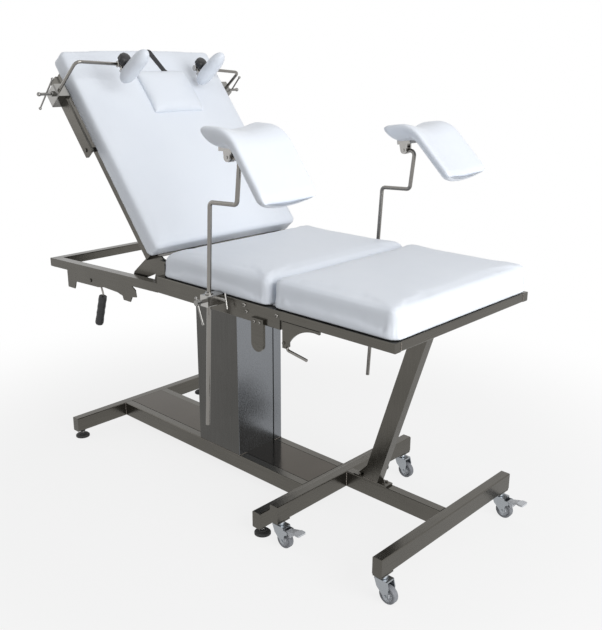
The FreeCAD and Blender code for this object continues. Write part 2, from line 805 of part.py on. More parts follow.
def trolley_tubes():
    top = trolley_z + tube_deep
    made = []
    for x in trolley_x:
        beam = tube(x, x + tube_wide, -trolley_half, trolley_half,
                    trolley_z, top, "y")
        for side in (-1, 1):
            at = Vector(x + tube_wide / 2, side * caster_y, trolley_z)
            plate = box(x + 1, x + tube_wide - 1, at.y - 24, at.y + 24,
                        trolley_z - 4, trolley_z)
            beam = beam.fuse(plate)
            beam = beam.cut(Part.makeCylinder(6 + shaft_play, 20,
                                              at - Vector(0, 0, 10)))
        made.append(beam)
    half = tube_wide / 2
    spine = tube(trolley_x[0] + tube_wide, trolley_x[1], -half, half,
                 trolley_z, top)
    return made + [spine]


def post_x(z):
    """Head-side face of the slanted post at height z."""
    z0 = trolley_z + tube_deep
    z1 = frame_top + touch_gap - foot_tube
    return post_foot_x + (post_head_x - post_foot_x) * (z - z0) / (z1 - z0)


def trolley_post():
    """Slanted post with a bolted foot plate, a rib and a head plate."""
    z0 = trolley_z + tube_deep
    z1 = frame_top + touch_gap - foot_tube
    half = tube_wide / 2
    lower = [(post_foot_x, z0), (post_foot_x + post_wide, z0)]
    upper = [(post_head_x, z1), (post_head_x + post_wide, z1)]
    post = raked_tube(lower, upper, -half, half)
    foot = box(post_foot_x - 34, post_foot_x + post_wide + 34, -half, half,
               z0, z0 + 5)
    rib = prism([(post_foot_x - 26, z0 + 5), (post_foot_x + 4, z0 + 5),
                 (post_x(z0 + 50) + 2, z0 + 50), (post_x(z0 + 50), z0 + 50)],
                -3, 3)
    head = box(post_head_x - 16, post_head_x + post_wide + 16,
               -half - 14, half + 14, z1 - 5, z1)
    whole = post.fuse(foot).fuse(rib).fuse(head)
    for x in (post_foot_x - 15, post_foot_x + post_wide + 18):
        for y in (-8, 8):
            bolt = Part.makeCylinder(4, 4, Vector(x, y, z0 + 5))
            whole = whole.fuse(bolt)
    return whole


def foot_frame():
    top = frame_top + touch_gap
    low = top - foot_tube
    inner = half_width - foot_tube
    rail = tube(foot_x0, foot_x1, -half_width, -inner, low, top)
    made = pair(rail)
    for x0, x1 in ((foot_x0, foot_x0 + foot_tube),
                   (post_head_x + 1, post_head_x + post_wide - 1),
                   (foot_x1 - foot_tube, foot_x1)):
        made.append(tube(x0, x1, -inner, inner, low, top, "y"))
    return made


def foot_gusset(side):
    """Side plate with a hollow lower edge, the near one with the latch barrel."""
    top = frame_top + touch_gap - foot_tube
    y0, y1 = -half_width, -half_width + 6
    x0, x1 = foot_x0 + 8, 472.0
    a = Vector(x1, y0, top)
    b = Vector(x1, y0, top - 8)
    c = Vector(x0 + 12, y0, 595)
    mid = Vector(396, y0, 640)
    outline = Part.Wire([
        Part.LineSegment(Vector(x0, y0, top), a).toShape(),
        Part.LineSegment(a, b).toShape(),
        Part.Arc(b, mid, c).toShape(),
        Part.LineSegment(c, Vector(x0, y0, 595)).toShape(),
        Part.LineSegment(Vector(x0, y0, 595), Vector(x0, y0, top)).toShape(),
    ])
    plate = Part.Face(outline).extrude(Vector(0, y1 - y0, 0))
    barrel = Part.makeCylinder(8, top - 598, Vector(x0 + 8, y1 + 4, 598))
    bore = Part.makeCylinder(4 + shaft_play, top - 590, Vector(x0 + 8, y1 + 4, 590))
    plate = plate.fuse(bolt_head(x0 + 5, y0, 609, 4.0, 3.5))
    return plate.fuse(barrel).cut(bore) if side < 0 else mirror_y(plate)


def foot_latch():
    """Latch pin in the near barrel with a bent handle."""
    x = foot_x0 + 16
    y = -half_width + 10
    top = frame_top + touch_gap - foot_tube - 3
    bar = bent_rod([Vector(x, y, top), Vector(x, y, 588),
                    Vector(x + 68, y, 577)], 4.0, 8.0)
    return bar


def caster_spot(end, side):
    return Vector(trolley_x[end] + tube_wide / 2, side * caster_y, 0)


def caster_fork(end, side, braked):
    """Swivel fork: race, crown, two swept side plates and the axle."""
    king = Part.makeCylinder(6, 28, Vector(0, 0, 62))
    race = Part.makeCylinder(14, 9.6, Vector(0, 0, 66))
    rim = [e for e in race.Edges if isinstance(e.Curve, Part.Circle)]
    race = race.makeFillet(3.0, rim)
    outer = fork_inner + fork_plate
    crown = box(-16, 24, -outer, outer, 62, 66.5)
    t = caster_trail
    cheek = prism([(-16, 66), (24, 66), (t + 9, 46), (t + 8, wheel_r),
                   (t - 8, wheel_r), (-8, 44)], fork_inner, outer)
    cheek = cheek.fuse(Part.makeCylinder(8, fork_plate,
                                         Vector(t, fork_inner, wheel_r),
                                         Vector(0, 1, 0)))
    if braked:
        cheek = cheek.fuse(Part.makeCylinder(6, fork_plate,
                                             Vector(t + 14, fork_inner, 54),
                                             Vector(0, 1, 0)))
        cheek = cheek.fuse(prism([(t - 2, 60), (t + 16, 60), (t + 12, 46),
                                  (t + 2, 40)], fork_inner, outer))
    axle = Part.makeCylinder(4, 2 * outer + 4, Vector(t, -outer - 2, wheel_r),
                             Vector(0, 1, 0))
    whole = king.fuse(race).fuse(crown).fuse(cheek).fuse(mirror_y(cheek)).fuse(axle)
    if braked:
        pin = Part.makeCylinder(2.5, 2 * outer, Vector(t + 14, -outer, 54),
                                Vector(0, 1, 0))
        whole = whole.fuse(pin)
    whole.translate(caster_spot(end, side))
    return whole


def caster_wheel(end, side):
    """Wheel with a round tread, a thin web and a long hub."""
    w = wheel_wide / 2
    r = wheel_r
    a, b = 4 + shaft_play, fork_inner - 0.5
    half = [(a, b), (9, b), (9.5, 4), (17, 3), (18, w), (r - 3, w), (r, w - 3.5)]
    ring = half + [(x, -y) for x, y in reversed(half)]
    wire = Part.makePolygon([Vector(x, y, 0) for x, y in ring + ring[:1]])
    wheel = Part.Face(wire).revolve(Vector(0, 0, 0), Vector(0, 1, 0), 360)
    spot = caster_spot(end, side)
    wheel.translate(spot + Vector(caster_trail, 0, wheel_r))
    return wheel


def brake_pedal(end, side):
    """Foot pedal between the fork cheeks, with its brake shoe."""
    t = caster_trail
    wide = fork_inner - 0.6
    arm = prism([(t + 14, 59), (t + 44, 67), (t + 64, 66), (t + 64, 62),
                 (t + 45, 62), (t + 30, 57), (t + 29, 45), (t + 24, 45),
                 (t + 21, 50), (t + 10, 52)], -wide, wide)
    boss = Part.makeCylinder(5, 2 * wide, Vector(t + 14, -wide, 54),
                             Vector(0, 1, 0))
    tread = box(t + 46, t + 64, -15, 15, 62, 67)
    tread = tread.makeFillet(4, edges_along(tread, Vector(0, 0, 1)))
    bore = Part.makeCylinder(2.5 + shaft_play, 60, Vector(t + 14, -30, 54),
                             Vector(0, 1, 0))
    shoe_room = Part.makeCylinder(wheel_r + 2.5, 60, Vector(t, -30, wheel_r),
                                  Vector(0, 1, 0))
    whole = arm.fuse(boss).fuse(tread).cut(bore).cut(shoe_room)
    whole.translate(caster_spot(end, side))
    return whole


save("base_tubes", base_tubes())
save("base_plate", box(rear_beam_x + tube_wide, front_beam_x,
                       -box_half + tube_wide, box_half - tube_wide,
                       beam_top - plate_thick, beam_top))
for end_name, beam_x in (("rear", rear_beam_x), ("front", front_beam_x)):
    for side_name, side in (("near", -1), ("far", 1)):
        save("leveller_" + side_name + "_" + end_name,
             leveller(beam_x + tube_wide / 2, side * leveller_y))
save("column_shell", column_shell())
save("column_front_panel", column_front_panel())
save("seat_frame_tubes", seat_frame())
save("head_frame_tubes", head_frame())
save("seat_cushion", cushion_block(*seat_cushion_x, frame_top, mattress_top))
save("hinge_brackets", hinge_brackets())
save("lever_bracket", lever_bracket())
save("release_lever", release_lever())
save("release_grip", release_grip())
save("dock_tongues", pair(dock_tongue()))
save("rail_bolts", rail_bolts())
save("leg_clamps", leg_clamp(-1), leg_clamp(1))

saddle_pad = leg_pad_raw()
saddle_bracket = leg_bracket_raw(saddle_pad)
for side_name, side in (("near", -1), ("far", 1)):
    save(side_name + "_rod_bush", rod_bush(side))
    save(side_name + "_clamp_handle", clamp_handle(side))
    save(side_name + "_leg_rod", leg_rod(side))
    save(side_name + "_leg_bracket", place_leg(saddle_bracket, side))
    save(side_name + "_leg_pad", place_leg(saddle_pad, side))
    save(side_name + "_shoulder_clamp", shoulder_clamp(side))
    save(side_name + "_shoulder_rod", shoulder_rod(side))
    save(side_name + "_shoulder_pad", shoulder_pad(side))
    save(side_name + "_shoulder_knob", shoulder_knob(side))

save("backrest_frame_tubes", rest_frame())
save("backrest_hinge_arms", hinge_arms())
save("backrest_cushion", rest_cushion())
near_rail = accessory_rail()
save("accessory_rails", pair(near_rail))
save("pillow", pillow())
save("pillow_strap", pillow_strap())
save("gas_cylinder", gas_cylinder())
save("gas_rod", gas_rod())

save("trolley_tubes", trolley_tubes())
save("trolley_post", trolley_post())
save("foot_frame_tubes", foot_frame())
save("foot_gussets", foot_gusset(-1), foot_gusset(1))
save("foot_latch", foot_latch())
save("foot_cushion", cushion_block(*foot_cushion_x, frame_top + touch_gap,
                                   mattress_top))
for end_name, end in (("rear", 0), ("front", 1)):
    for side_name, side in (("near", -1), ("far", 1)):
        place = side_name + "_" + end_name
        braked = (end == 0) == (side < 0)
        save("caster_fork_" + place, caster_fork(end, side, braked))
        save("caster_wheel_" + place, caster_wheel(end, side))
        if braked:
            save("brake_pedal_" + place, brake_pedal(end, side))
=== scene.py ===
"""Dresses the delivery table: upholstery, steel finishes, welds, wheels and studio."""
import logging
import math
from dataclasses import dataclass, field
from enum import Enum
from typing import Any, Callable, Iterable, Optional

import bpy
import numpy as np
from mathutils import Matrix, Vector


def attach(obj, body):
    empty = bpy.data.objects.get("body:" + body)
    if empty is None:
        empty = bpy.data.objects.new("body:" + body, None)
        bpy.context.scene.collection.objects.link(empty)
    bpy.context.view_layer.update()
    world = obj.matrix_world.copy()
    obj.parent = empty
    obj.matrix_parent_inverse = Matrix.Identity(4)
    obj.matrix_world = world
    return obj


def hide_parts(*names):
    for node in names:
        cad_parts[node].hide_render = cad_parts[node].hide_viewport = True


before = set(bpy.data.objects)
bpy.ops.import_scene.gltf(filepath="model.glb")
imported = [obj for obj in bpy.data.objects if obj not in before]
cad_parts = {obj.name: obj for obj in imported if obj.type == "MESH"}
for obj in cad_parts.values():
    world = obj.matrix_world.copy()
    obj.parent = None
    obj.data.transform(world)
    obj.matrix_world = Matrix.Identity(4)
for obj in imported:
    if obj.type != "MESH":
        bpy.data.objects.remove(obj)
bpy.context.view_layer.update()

log = logging.getLogger("delivery_table")
Array = np.ndarray
Colour = tuple[float, float, float]
Pair = tuple[float, float]
Beads = tuple[tuple[tuple[float, ...], tuple[float, ...], Pair], ...]


class Side(Enum):
    """Which long side of the table a fitting is on, seen in the photograph."""

    NEAR = -1
    FAR = 1

    @property
    def word(self) -> str:
        """The side's name as the pieces spell it."""
        return self.name.lower()


def shaded(tint: Colour, factor: float) -> Colour:
    """The tint made lighter or darker by a factor."""
    return tuple(factor * c for c in tint)


def circle(count: int) -> Array:
    """Angles round a full turn, as a column."""
    return np.linspace(0, 2 * np.pi, count, endpoint=False)[:, None]


def polar(radius: Array, angle: Array, height: Array) -> Array:
    """Points round the Z axis from radius, angle and height."""
    return np.stack([radius * np.cos(angle), radius * np.sin(angle),
                     height + 0 * angle], -1)


def rows(items: Any, what: str) -> Array:
    """One vector for each item of a mesh collection.

    Args:
        items: the vertices or polygons.
        what: the vector property to read.

    Returns:
        The vectors as rows.
    """
    flat = np.empty(len(items) * 3, np.float32)
    items.foreach_get(what, flat)
    return flat.reshape(-1, 3)


def placed(name: str, data: Any) -> bpy.types.Object:
    """A new object with that data, linked into the scene."""
    made = bpy.data.objects.new(name, data)
    bpy.context.scene.collection.objects.link(made)
    return made


def operator(operation: str) -> Callable[["Signal", Any], "Signal"]:
    """An operator of Signal that adds one Math node."""
    def method(self: "Signal", other: Any) -> "Signal":
        """The node's result for this signal and another value."""
        return self.maths(operation, self, other)

    return method


class Signal:
    """A shader socket that adds Math nodes when it is used in an expression."""

    def __init__(self, recipe: "Recipe", socket: bpy.types.NodeSocket) -> None:
        """Keeps the socket and the recipe that new nodes go into."""
        self.recipe = recipe
        self.socket = socket

    def maths(self, operation: str, a: Any, b: Any = None) -> "Signal":
        """One Math node.

        Args:
            operation: the node's operation.
            a: first value or signal.
            b: second value or signal, where the operation takes one.

        Returns:
            The node's result.
        """
        values = {0: a} if b is None else {0: a, 1: b}
        return self.recipe.node("ShaderNodeMath", {"operation": operation}, values)

    __add__ = operator("ADD")
    __mul__ = operator("MULTIPLY")
    __sub__ = operator("SUBTRACT")
    __gt__ = operator("GREATER_THAN")
    __lt__ = operator("LESS_THAN")
    __pow__ = operator("POWER")

    def __abs__(self) -> "Signal":
        """Absolute value."""
        return self.maths("ABSOLUTE", self)

    def sine(self) -> "Signal":
        """Sine of the value in radians."""
        return self.maths("SINE", self)


class Recipe:
    """One material's node tree with a Principled shader."""

    def __init__(self, name: str) -> None:
        """Starts an empty material of that name."""
        self.material = bpy.data.materials.new(name)
        self.material.use_nodes = True
        self.tree = self.material.node_tree
        self.shader = next(n for n in self.tree.nodes if n.type == "BSDF_PRINCIPLED")

    def node(self, kind: str, settings: Optional[dict] = None,
             inputs: Optional[dict] = None, output: Any = 0) -> Signal:
        """Adds any node.

        Args:
            kind: the node's type name.
            settings: attributes, set first.
            inputs: socket name or number to a value or a signal.
            output: which output is returned.

        Returns:
            That output as a signal.
        """
        made = self.tree.nodes.new(kind)
        for key, value in (settings or {}).items():
            setattr(made, key, value)
        for key, value in (inputs or {}).items():
            socket = made.inputs[key]
            if isinstance(value, Signal):
                self.tree.links.new(value.socket, socket)
            else:
                socket.default_value = value
        return Signal(self, made.outputs[output])

    def place(self, scale: Colour = (1, 1, 1), shift: Colour = (0, 0, 0)) -> Signal:
        """Object coordinates, stretched and shifted.

        Args:
            scale: factor along each axis.
            shift: offset in metres, before the factor.

        Returns:
            The coordinates as a vector signal.
        """
        here = self.node("ShaderNodeTexCoord", output="Object")
        moved = self.node("ShaderNodeVectorMath", {"operation": "SUBTRACT"},
                          {0: here, 1: shift})
        return self.node("ShaderNodeVectorMath", {"operation": "MULTIPLY"},
                         {0: moved, 1: scale})

    def noise(self, where: Signal, size: float, detail: float = 2.0) -> Signal:
        """Smooth noise from 0 to 1 at that many cells a metre.

        Args:
            where: coordinates.
            size: cells per metre.
            detail: octaves.

        Returns:
            The noise value.
        """
        return self.node("ShaderNodeTexNoise", None,
                         {"Vector": where, "Scale": size, "Detail": detail})

    def axes(self) -> tuple[Signal, Signal, Signal]:
        """Object X, Y and Z as three signals."""
        here = self.place()
        split = self.tree.nodes.new("ShaderNodeSeparateXYZ")
        self.tree.links.new(here.socket, split.inputs[0])
        return tuple(Signal(self, split.outputs[k]) for k in range(3))

    def mix(self, amount: Any, a: Any, b: Any) -> Signal:
        """Colour mix of a and b by amount, from 0 to 1."""
        def whole(value: Any) -> Any:
            return value if isinstance(value, Signal) else (*value, 1.0)

        return self.node("ShaderNodeMix", {"data_type": "RGBA"},
                         {0: amount, 6: whole(a), 7: whole(b)}, 2)

    def tones(self, amount: Any, tint: Colour, low: float, high: float) -> Signal:
        """The tint, from low to high times its lightness by amount."""
        return self.mix(amount, shaded(tint, low), shaded(tint, high))

    def bump(self, height: Signal, depth: float, strength: float = 1.0) -> None:
        """Feeds a height, in metres times depth, to the shader's normal."""
        normal = self.node("ShaderNodeBump", None,
                           {"Height": height, "Distance": depth, "Strength": strength})
        self.set(Normal=normal)

    def set(self, **sockets: Any) -> "Recipe":
        """Sets the shader's sockets; an underscore in a name is a space.

        Args:
            sockets: values or signals by socket name.

        Returns:
            This recipe.
        """
        for name, value in sockets.items():
            socket = self.shader.inputs[name.replace("_", " ")]
            if isinstance(value, Signal):
                self.tree.links.new(value.socket, socket)
            elif isinstance(value, tuple) and len(value) == 3:
                socket.default_value = (*value, 1.0)
            else:
                socket.default_value = value
        return self


@dataclass(frozen=True)
class Band:
    """A slab of space between two values along one axis."""

    axis: int
    low: float
    high: float


@dataclass(frozen=True)
class SatinSteel:
    """Stainless tube with a fine brushed grain along each member."""

    name: str
    tint: Colour = (0.112, 0.106, 0.094)
    rough: float = 0.25
    # front: lighter colour painted on faces towards the foot end, a painted highlight
    front: Optional[Colour] = None
    along: int = 0
    crossing: tuple[Band, ...] = ()
    grain: float = 2600.0
    streaks: float = 420.0

    def stretch(self, axis: int) -> Colour:
        """Scale that draws a pattern out along one axis."""
        return tuple(0.02 if k == axis else 1.0 for k in range(3))

    def paint(self) -> bpy.types.Material:
        """The material.

        The grain is stretched noise along the member, and along Y inside the
        crossing bands. Faces towards the foot end take the lighter colour front
        where it is given: a painted highlight, as if lit from the foot end.

        Returns:
            The finished material.
        """
        r = Recipe(self.name)
        lengthwise = r.place(self.stretch(self.along))
        if self.crossing:
            here = r.axes()
            turn: Any = 0.0
            for band in self.crossing:
                c = here[band.axis]
                turn = (c > band.low) * (c < band.high) + turn
            across = r.place(self.stretch(1))
            lengthwise = r.node("ShaderNodeMix", {"data_type": "VECTOR"},
                                {0: turn, 4: lengthwise, 5: across}, 1)
        fine = r.noise(lengthwise, self.grain, 1.0)
        broad = r.noise(lengthwise, self.streaks, 2.0)
        cloud = r.noise(r.place(), 5.0, 3.0)
        smear = r.noise(r.place(), 32.0, 3.0)
        shade = (broad - 0.5) * 0.9 + (cloud - 0.5) * 0.9 + 0.5
        colour = r.tones(shade, self.tint, 0.84, 1.16)
        # Painted highlight: faces turned towards the foot end get the lighter colour
        # front.
        if self.front:
            facing = r.node("ShaderNodeNewGeometry", output="Normal")
            towards = r.node("ShaderNodeVectorMath", {"operation": "DOT_PRODUCT"},
                             {0: facing, 1: (1.0, 0.0, 0.0)}, "Value")
            colour = r.mix(towards > 0.7, colour, r.tones(cloud, self.front, 1.0, 1.14))
        r.set(Base_Color=colour, Metallic=1.0,
              Roughness=(fine - 0.5) * 0.16 + (smear - 0.5) * 0.12 + self.rough)
        r.bump(fine * 0.6 + broad * 0.4, 0.00012, 0.5)
        return r.material


@dataclass(frozen=True)
class PolishedSteel:
    """Bright polished bar or sheet with faint wiping marks.

    marks and hairs are the numbers of smears and hairlines a metre.
    """

    name: str
    tint: Colour = (0.24, 0.23, 0.215)
    rough: float = 0.13
    marks: float = 60.0
    hairs: float = 1900.0

    def paint(self) -> bpy.types.Material:
        """The material: clouded colour, smeared gloss and hairline marks."""
        r = Recipe(self.name)
        cloud = r.noise(r.place(), 9.0, 3.0)
        smear = r.noise(r.place((1, 0.25, 1)), self.marks, 4.0)
        hair = r.noise(r.place((0.05, 1, 1)), self.hairs, 1.0)
        r.set(Base_Color=r.tones(cloud, self.tint, 0.88, 1.08), Metallic=1.0,
              Roughness=(smear - 0.5) * 0.14 + (hair - 0.5) * 0.05 + self.rough)
        r.bump(hair * 0.5 + smear * 0.5, 0.00006, 0.4)
        return r.material


@dataclass(frozen=True)
class CoatedFabric:
    """White coated upholstery with a fine pebbled grain."""

    name: str
    tint: Colour = (0.778, 0.822, 0.895)
    rough: float = 0.42
    pebble: float = 900.0
    drape: float = 0.0

    def paint(self) -> bpy.types.Material:
        """The material.

        Height is small rounded cells of about a millimetre, plus slow waves
        where the cover relaxes; colour and gloss drift with the same fields.

        Returns:
            The finished material.
        """
        r = Recipe(self.name)
        here = r.place()
        cells = r.node("ShaderNodeTexVoronoi", {"feature": "SMOOTH_F1"},
                       {"Vector": here, "Scale": self.pebble, "Smoothness": 0.6})
        slow = r.noise(here, 7.0, 3.0)
        mid = r.noise(here, 45.0, 3.0)
        handled = r.noise(here, 3.1, 2.0)
        cool, grey = shaded(self.tint, 0.965), shaded(self.tint, 0.93)
        warm = (self.tint[0] * 1.012, self.tint[1] * 1.008, self.tint[2] * 0.992)
        tone = r.mix((slow - 0.5) * 1.2 + 0.5, cool, warm)
        # Painted shade: the hollows between the pebbles, where the bump sinks, are mixed a
        # little towards the greyer tint.
        r.set(Base_Color=r.mix((cells ** 2.0) * 0.25, tone, grey),
              Roughness=(mid - 0.5) * 0.12 + (handled - 0.5) * 0.1 + self.rough,
              Specular_IOR_Level=0.42, Coat_Weight=0.06, Coat_Roughness=0.3)
        waves = (slow - 0.5) * (6.0 + self.drape)
        r.bump(cells * -0.12 + (mid - 0.5) * 0.35 + waves, 0.0009, 0.55)
        return r.material


@dataclass(frozen=True)
class Moulding:
    """Matt moulded plastic or rubber with a spark-eroded texture."""

    name: str
    tint: Colour
    rough: float = 0.5
    grain: float = 1500.0
    depth: float = 0.00012
    scuff: Colour = (0.09, 0.09, 0.09)

    def paint(self) -> bpy.types.Material:
        """The material: fine grain, patchy gloss and pale scuffing."""
        r = Recipe(self.name)
        fine = r.noise(r.place(), self.grain, 2.0)
        patch = r.noise(r.place(), 55.0, 4.0)
        worn = (patch ** 3.0) * 0.8
        r.set(Base_Color=r.mix(worn, self.tint, self.scuff),
              Roughness=(fine - 0.5) * 0.2 + (patch - 0.5) * 0.2 + self.rough)
        r.bump(fine, self.depth, 0.6)
        return r.material


@dataclass(frozen=True)
class Webbing:
    """Black elastic band woven from crossing yarns."""

    name: str
    tint: Colour = (0.018, 0.018, 0.02)
    along: Colour = (0.6266, 0.0, -0.7793)
    yarn: float = 0.0014

    def paint(self) -> bpy.types.Material:
        """The material: a sine weave, lengthwise ribs over crosswise yarns."""
        r = Recipe(self.name)
        here = r.place()
        run = r.node("ShaderNodeVectorMath", {"operation": "DOT_PRODUCT"},
                     {0: here, 1: self.along}, "Value")
        y = r.axes()[1]
        turns = 2 * math.pi / self.yarn
        weft = (run * turns).sine()
        warp = (y * (turns * 0.7)).sine()
        height = abs(warp) * 0.6 + weft * 0.4
        r.set(Base_Color=r.tones(height, self.tint, 0.6, 2.4),
              Roughness=height * -0.15 + 0.85)
        r.bump(height, 0.0003, 0.8)
        return r.material


@dataclass(frozen=True)
class BoardLining:
    """Dark felted cloth under a pad, over the board inside it."""

    name: str
    tint: Colour = (0.055, 0.055, 0.06)
    fibres: float = 1200.0

    def paint(self) -> bpy.types.Material:
        """The material: a felted weave of fine fibres."""
        r = Recipe(self.name)
        fibre = r.noise(r.place((1, 0.2, 1)), self.fibres, 3.0)
        cross = r.noise(r.place((0.2, 1, 1)), self.fibres, 3.0)
        felt = fibre * 0.5 + cross * 0.5
        r.set(Base_Color=r.tones(felt, self.tint, 0.7, 1.5),
              Roughness=(felt - 0.5) * 0.2 + 0.85)
        r.bump(felt, 0.0004, 0.7)
        return r.material


def unit(v: Array) -> Array:
    """Rows of v at length one."""
    return v / np.maximum(np.linalg.norm(v, axis=-1, keepdims=True), 1e-12)


@dataclass
class Shell:
    """Vertices and faces of one closed skin, or of several."""

    verts: Array
    quads: Array
    tris: Array = field(default_factory=lambda: np.zeros((0, 3), int))

    @staticmethod
    def loft(grid: Array, closed: bool = True, loop: bool = False) -> "Shell":
        """Skin over a grid of points.

        Args:
            grid: array (u, v, 3); u runs round the section, v along it.
            closed: whether u joins its own start.
            loop: whether v joins its own start; otherwise both ends get a fan.

        Returns:
            A shell whose faces point outwards.
        """
        nu, nv = grid.shape[:2]
        verts = grid.reshape(-1, 3)
        u = np.arange(nu if closed else nu - 1)
        v = np.arange(nv if loop else nv - 1)
        a, b = np.meshgrid(u, v, indexing="ij")
        a2, b2 = (a + 1) % nu, (b + 1) % nv
        quads = np.stack([a * nv + b, a2 * nv + b, a2 * nv + b2, a * nv + b2], -1)
        tris = np.zeros((0, 3), int)
        if closed and not loop:
            first = grid[:, 0].mean(0)
            last = grid[:, -1].mean(0)
            verts = np.vstack([verts, first, last])
            ring = np.arange(nu)
            nxt = (ring + 1) % nu
            n = nu * nv
            low = np.stack([nxt * nv, ring * nv, np.full(nu, n)], -1)
            high = np.stack([ring * nv + nv - 1, nxt * nv + nv - 1,
                             np.full(nu, n + 1)], -1)
            tris = np.vstack([low, high])
        return Shell(verts, quads.reshape(-1, 4), tris).outward()

    def outward(self) -> "Shell":
        """Turns the faces round if the enclosed volume comes out negative."""
        q = self.verts[self.quads]
        t = self.verts[self.tris]
        volume = np.einsum("ij,ij->", q[:, 0], np.cross(q[:, 1], q[:, 2]))
        volume += np.einsum("ij,ij->", q[:, 0], np.cross(q[:, 2], q[:, 3]))
        if len(t):
            volume += np.einsum("ij,ij->", t[:, 0], np.cross(t[:, 1], t[:, 2]))
        if volume < 0:
            return Shell(self.verts, self.quads[:, ::-1], self.tris[:, ::-1])
        return self

    @staticmethod
    def joined(parts: Iterable["Shell"]) -> "Shell":
        """Several shells as one."""
        parts = list(parts)
        starts = np.cumsum([0] + [len(p.verts) for p in parts])
        return Shell(np.vstack([p.verts for p in parts]),
                     np.vstack([p.quads + s for p, s in zip(parts, starts)]),
                     np.vstack([p.tris + s for p, s in zip(parts, starts)]))

    def moved(self, origin: Array, axes: Array) -> "Shell":
        """Carries the shell into another frame.

        Args:
            origin: where the local origin goes.
            axes: three rows, the directions of the local axes.

        Returns:
            The moved shell, outward again.
        """
        return Shell(origin + self.verts @ axes, self.quads, self.tris).outward()

    def shifted(self, by: Any) -> "Shell":
        """The shell carried along by an offset."""
        return Shell(self.verts + by, self.quads, self.tris)

    def build(self, name: str, smooth: float = 40.0) -> bpy.types.Object:
        """Makes the mesh object.

        Args:
            name: the piece's name.
            smooth: angle in degrees above which an edge stays sharp.

        Returns:
            The object, at the origin.
        """
        mesh = bpy.data.meshes.new(name)
        mesh.from_pydata(self.verts.tolist(), [],
                         self.quads.tolist() + self.tris.tolist())
        mesh.validate()
        mesh.update()
        mesh.shade_smooth()
        mesh.set_sharp_from_angle(angle=math.radians(smooth))
        return placed(name, mesh)


def lathe(profile: Array, steps: int = 48) -> Shell:
    """Turns a profile round the local Z axis.

    The surface is (r(v) cos u, r(v) sin u, z(v)).

    Args:
        profile: rows of radius and height.
        steps: facets round the axis.

    Returns:
        The closed shell.
    """
    r, z = np.asarray(profile, float).T
    return Shell.loft(polar(r, circle(steps), z))


def rail_sweep(path: Array, radius: Array, sides: int = 12,
               loop: bool = False) -> Shell:
    """Round section carried along a path.

    Each ring is path + r (n cos u + b sin u), where n and b stand square to
    the path's direction and to a fixed helper direction.

    Args:
        path: points along the run.
        radius: one radius for each point.
        sides: facets of the section.
        loop: whether the path closes.

    Returns:
        The closed shell.
    """
    if loop:
        way = unit(np.roll(path, -1, 0) - np.roll(path, 1, 0))
    else:
        way = unit(np.gradient(path, axis=0))
    spread = np.abs(way).sum(0)
    helper = np.eye(3)[int(np.argmin(spread))]
    n = unit(np.cross(way, helper))
    b = np.cross(way, n)
    u = circle(sides)[:, None]
    r = np.asarray(radius, float)[None, :, None]
    grid = path[None] + r * (n[None] * np.cos(u) + b[None] * np.sin(u))
    return Shell.loft(grid, loop=loop)


def weld_bead(start: Array, end: Array, size: float = 0.0014,
              pitch: float = 0.0016) -> Shell:
    """A short weld bead: a thin bar whose radius ripples along its run.

    The radius is size (1 + 0.18 cos(2 pi s / pitch)), drawn in at both ends.

    Args:
        start: one end.
        end: the other end.
        size: mean radius.
        pitch: length of one ripple.

    Returns:
        The closed shell.
    """
    start, end = np.asarray(start, float), np.asarray(end, float)
    length = np.linalg.norm(end - start)
    steps = int(max(8, length / pitch * 4))
    s = np.linspace(0, length, steps)
    taper = np.clip(np.minimum(s, length - s) / (2 * size), 0.15, 1.0) ** 0.5
    r = size * (1 + 0.18 * np.cos(2 * np.pi * s / pitch)) * taper
    return rail_sweep(start + (end - start) * (s / length)[:, None], r, 8)


def rounded_plan(half_x: float, half_y: float, corner: float, count: int,
                 waist: float = 0.0) -> tuple[Array, Array]:
    """Rounded rectangle, even along its length, with its outward directions.

    Between the corners the line is drawn in by waist times a half wave.

    Args:
        half_x: half length.
        half_y: half width.
        corner: corner radius.
        count: points round the loop.
        waist: how far the middle of each side pulls in.

    Returns:
        Points and unit normals, each an array (count, 2).
    """
    quarter = np.linspace(0, np.pi / 2, 16)
    a = (quarter[None] + np.arange(4)[:, None] * np.pi / 2).ravel()
    sign = np.array([[1, 1], [-1, 1], [-1, -1], [1, -1]]).repeat(16, 0)
    centre = sign * [half_x - corner, half_y - corner]
    loop = centre + corner * np.stack([np.cos(a), np.sin(a)], -1)
    loop = np.vstack([loop, loop[:1]])
    sides = np.linalg.norm(np.diff(loop, axis=0), axis=1)
    walked = np.concatenate([[0], np.cumsum(sides)])
    at = np.linspace(0, walked[-1], count, endpoint=False)
    p = np.stack([np.interp(at, walked, loop[:, k]) for k in (0, 1)], -1)
    way = unit(np.roll(p, -1, 0) - np.roll(p, 1, 0))
    normal = np.stack([way[:, 1], -way[:, 0]], -1)
    share = np.abs(p) / [half_x, half_y]
    on_x = share[:, 0] > share[:, 1]
    along = np.where(on_x, share[:, 1], share[:, 0])
    draw = waist * np.cos(np.clip(along, 0, 1) * np.pi / 2)
    return p - normal * draw[:, None], normal


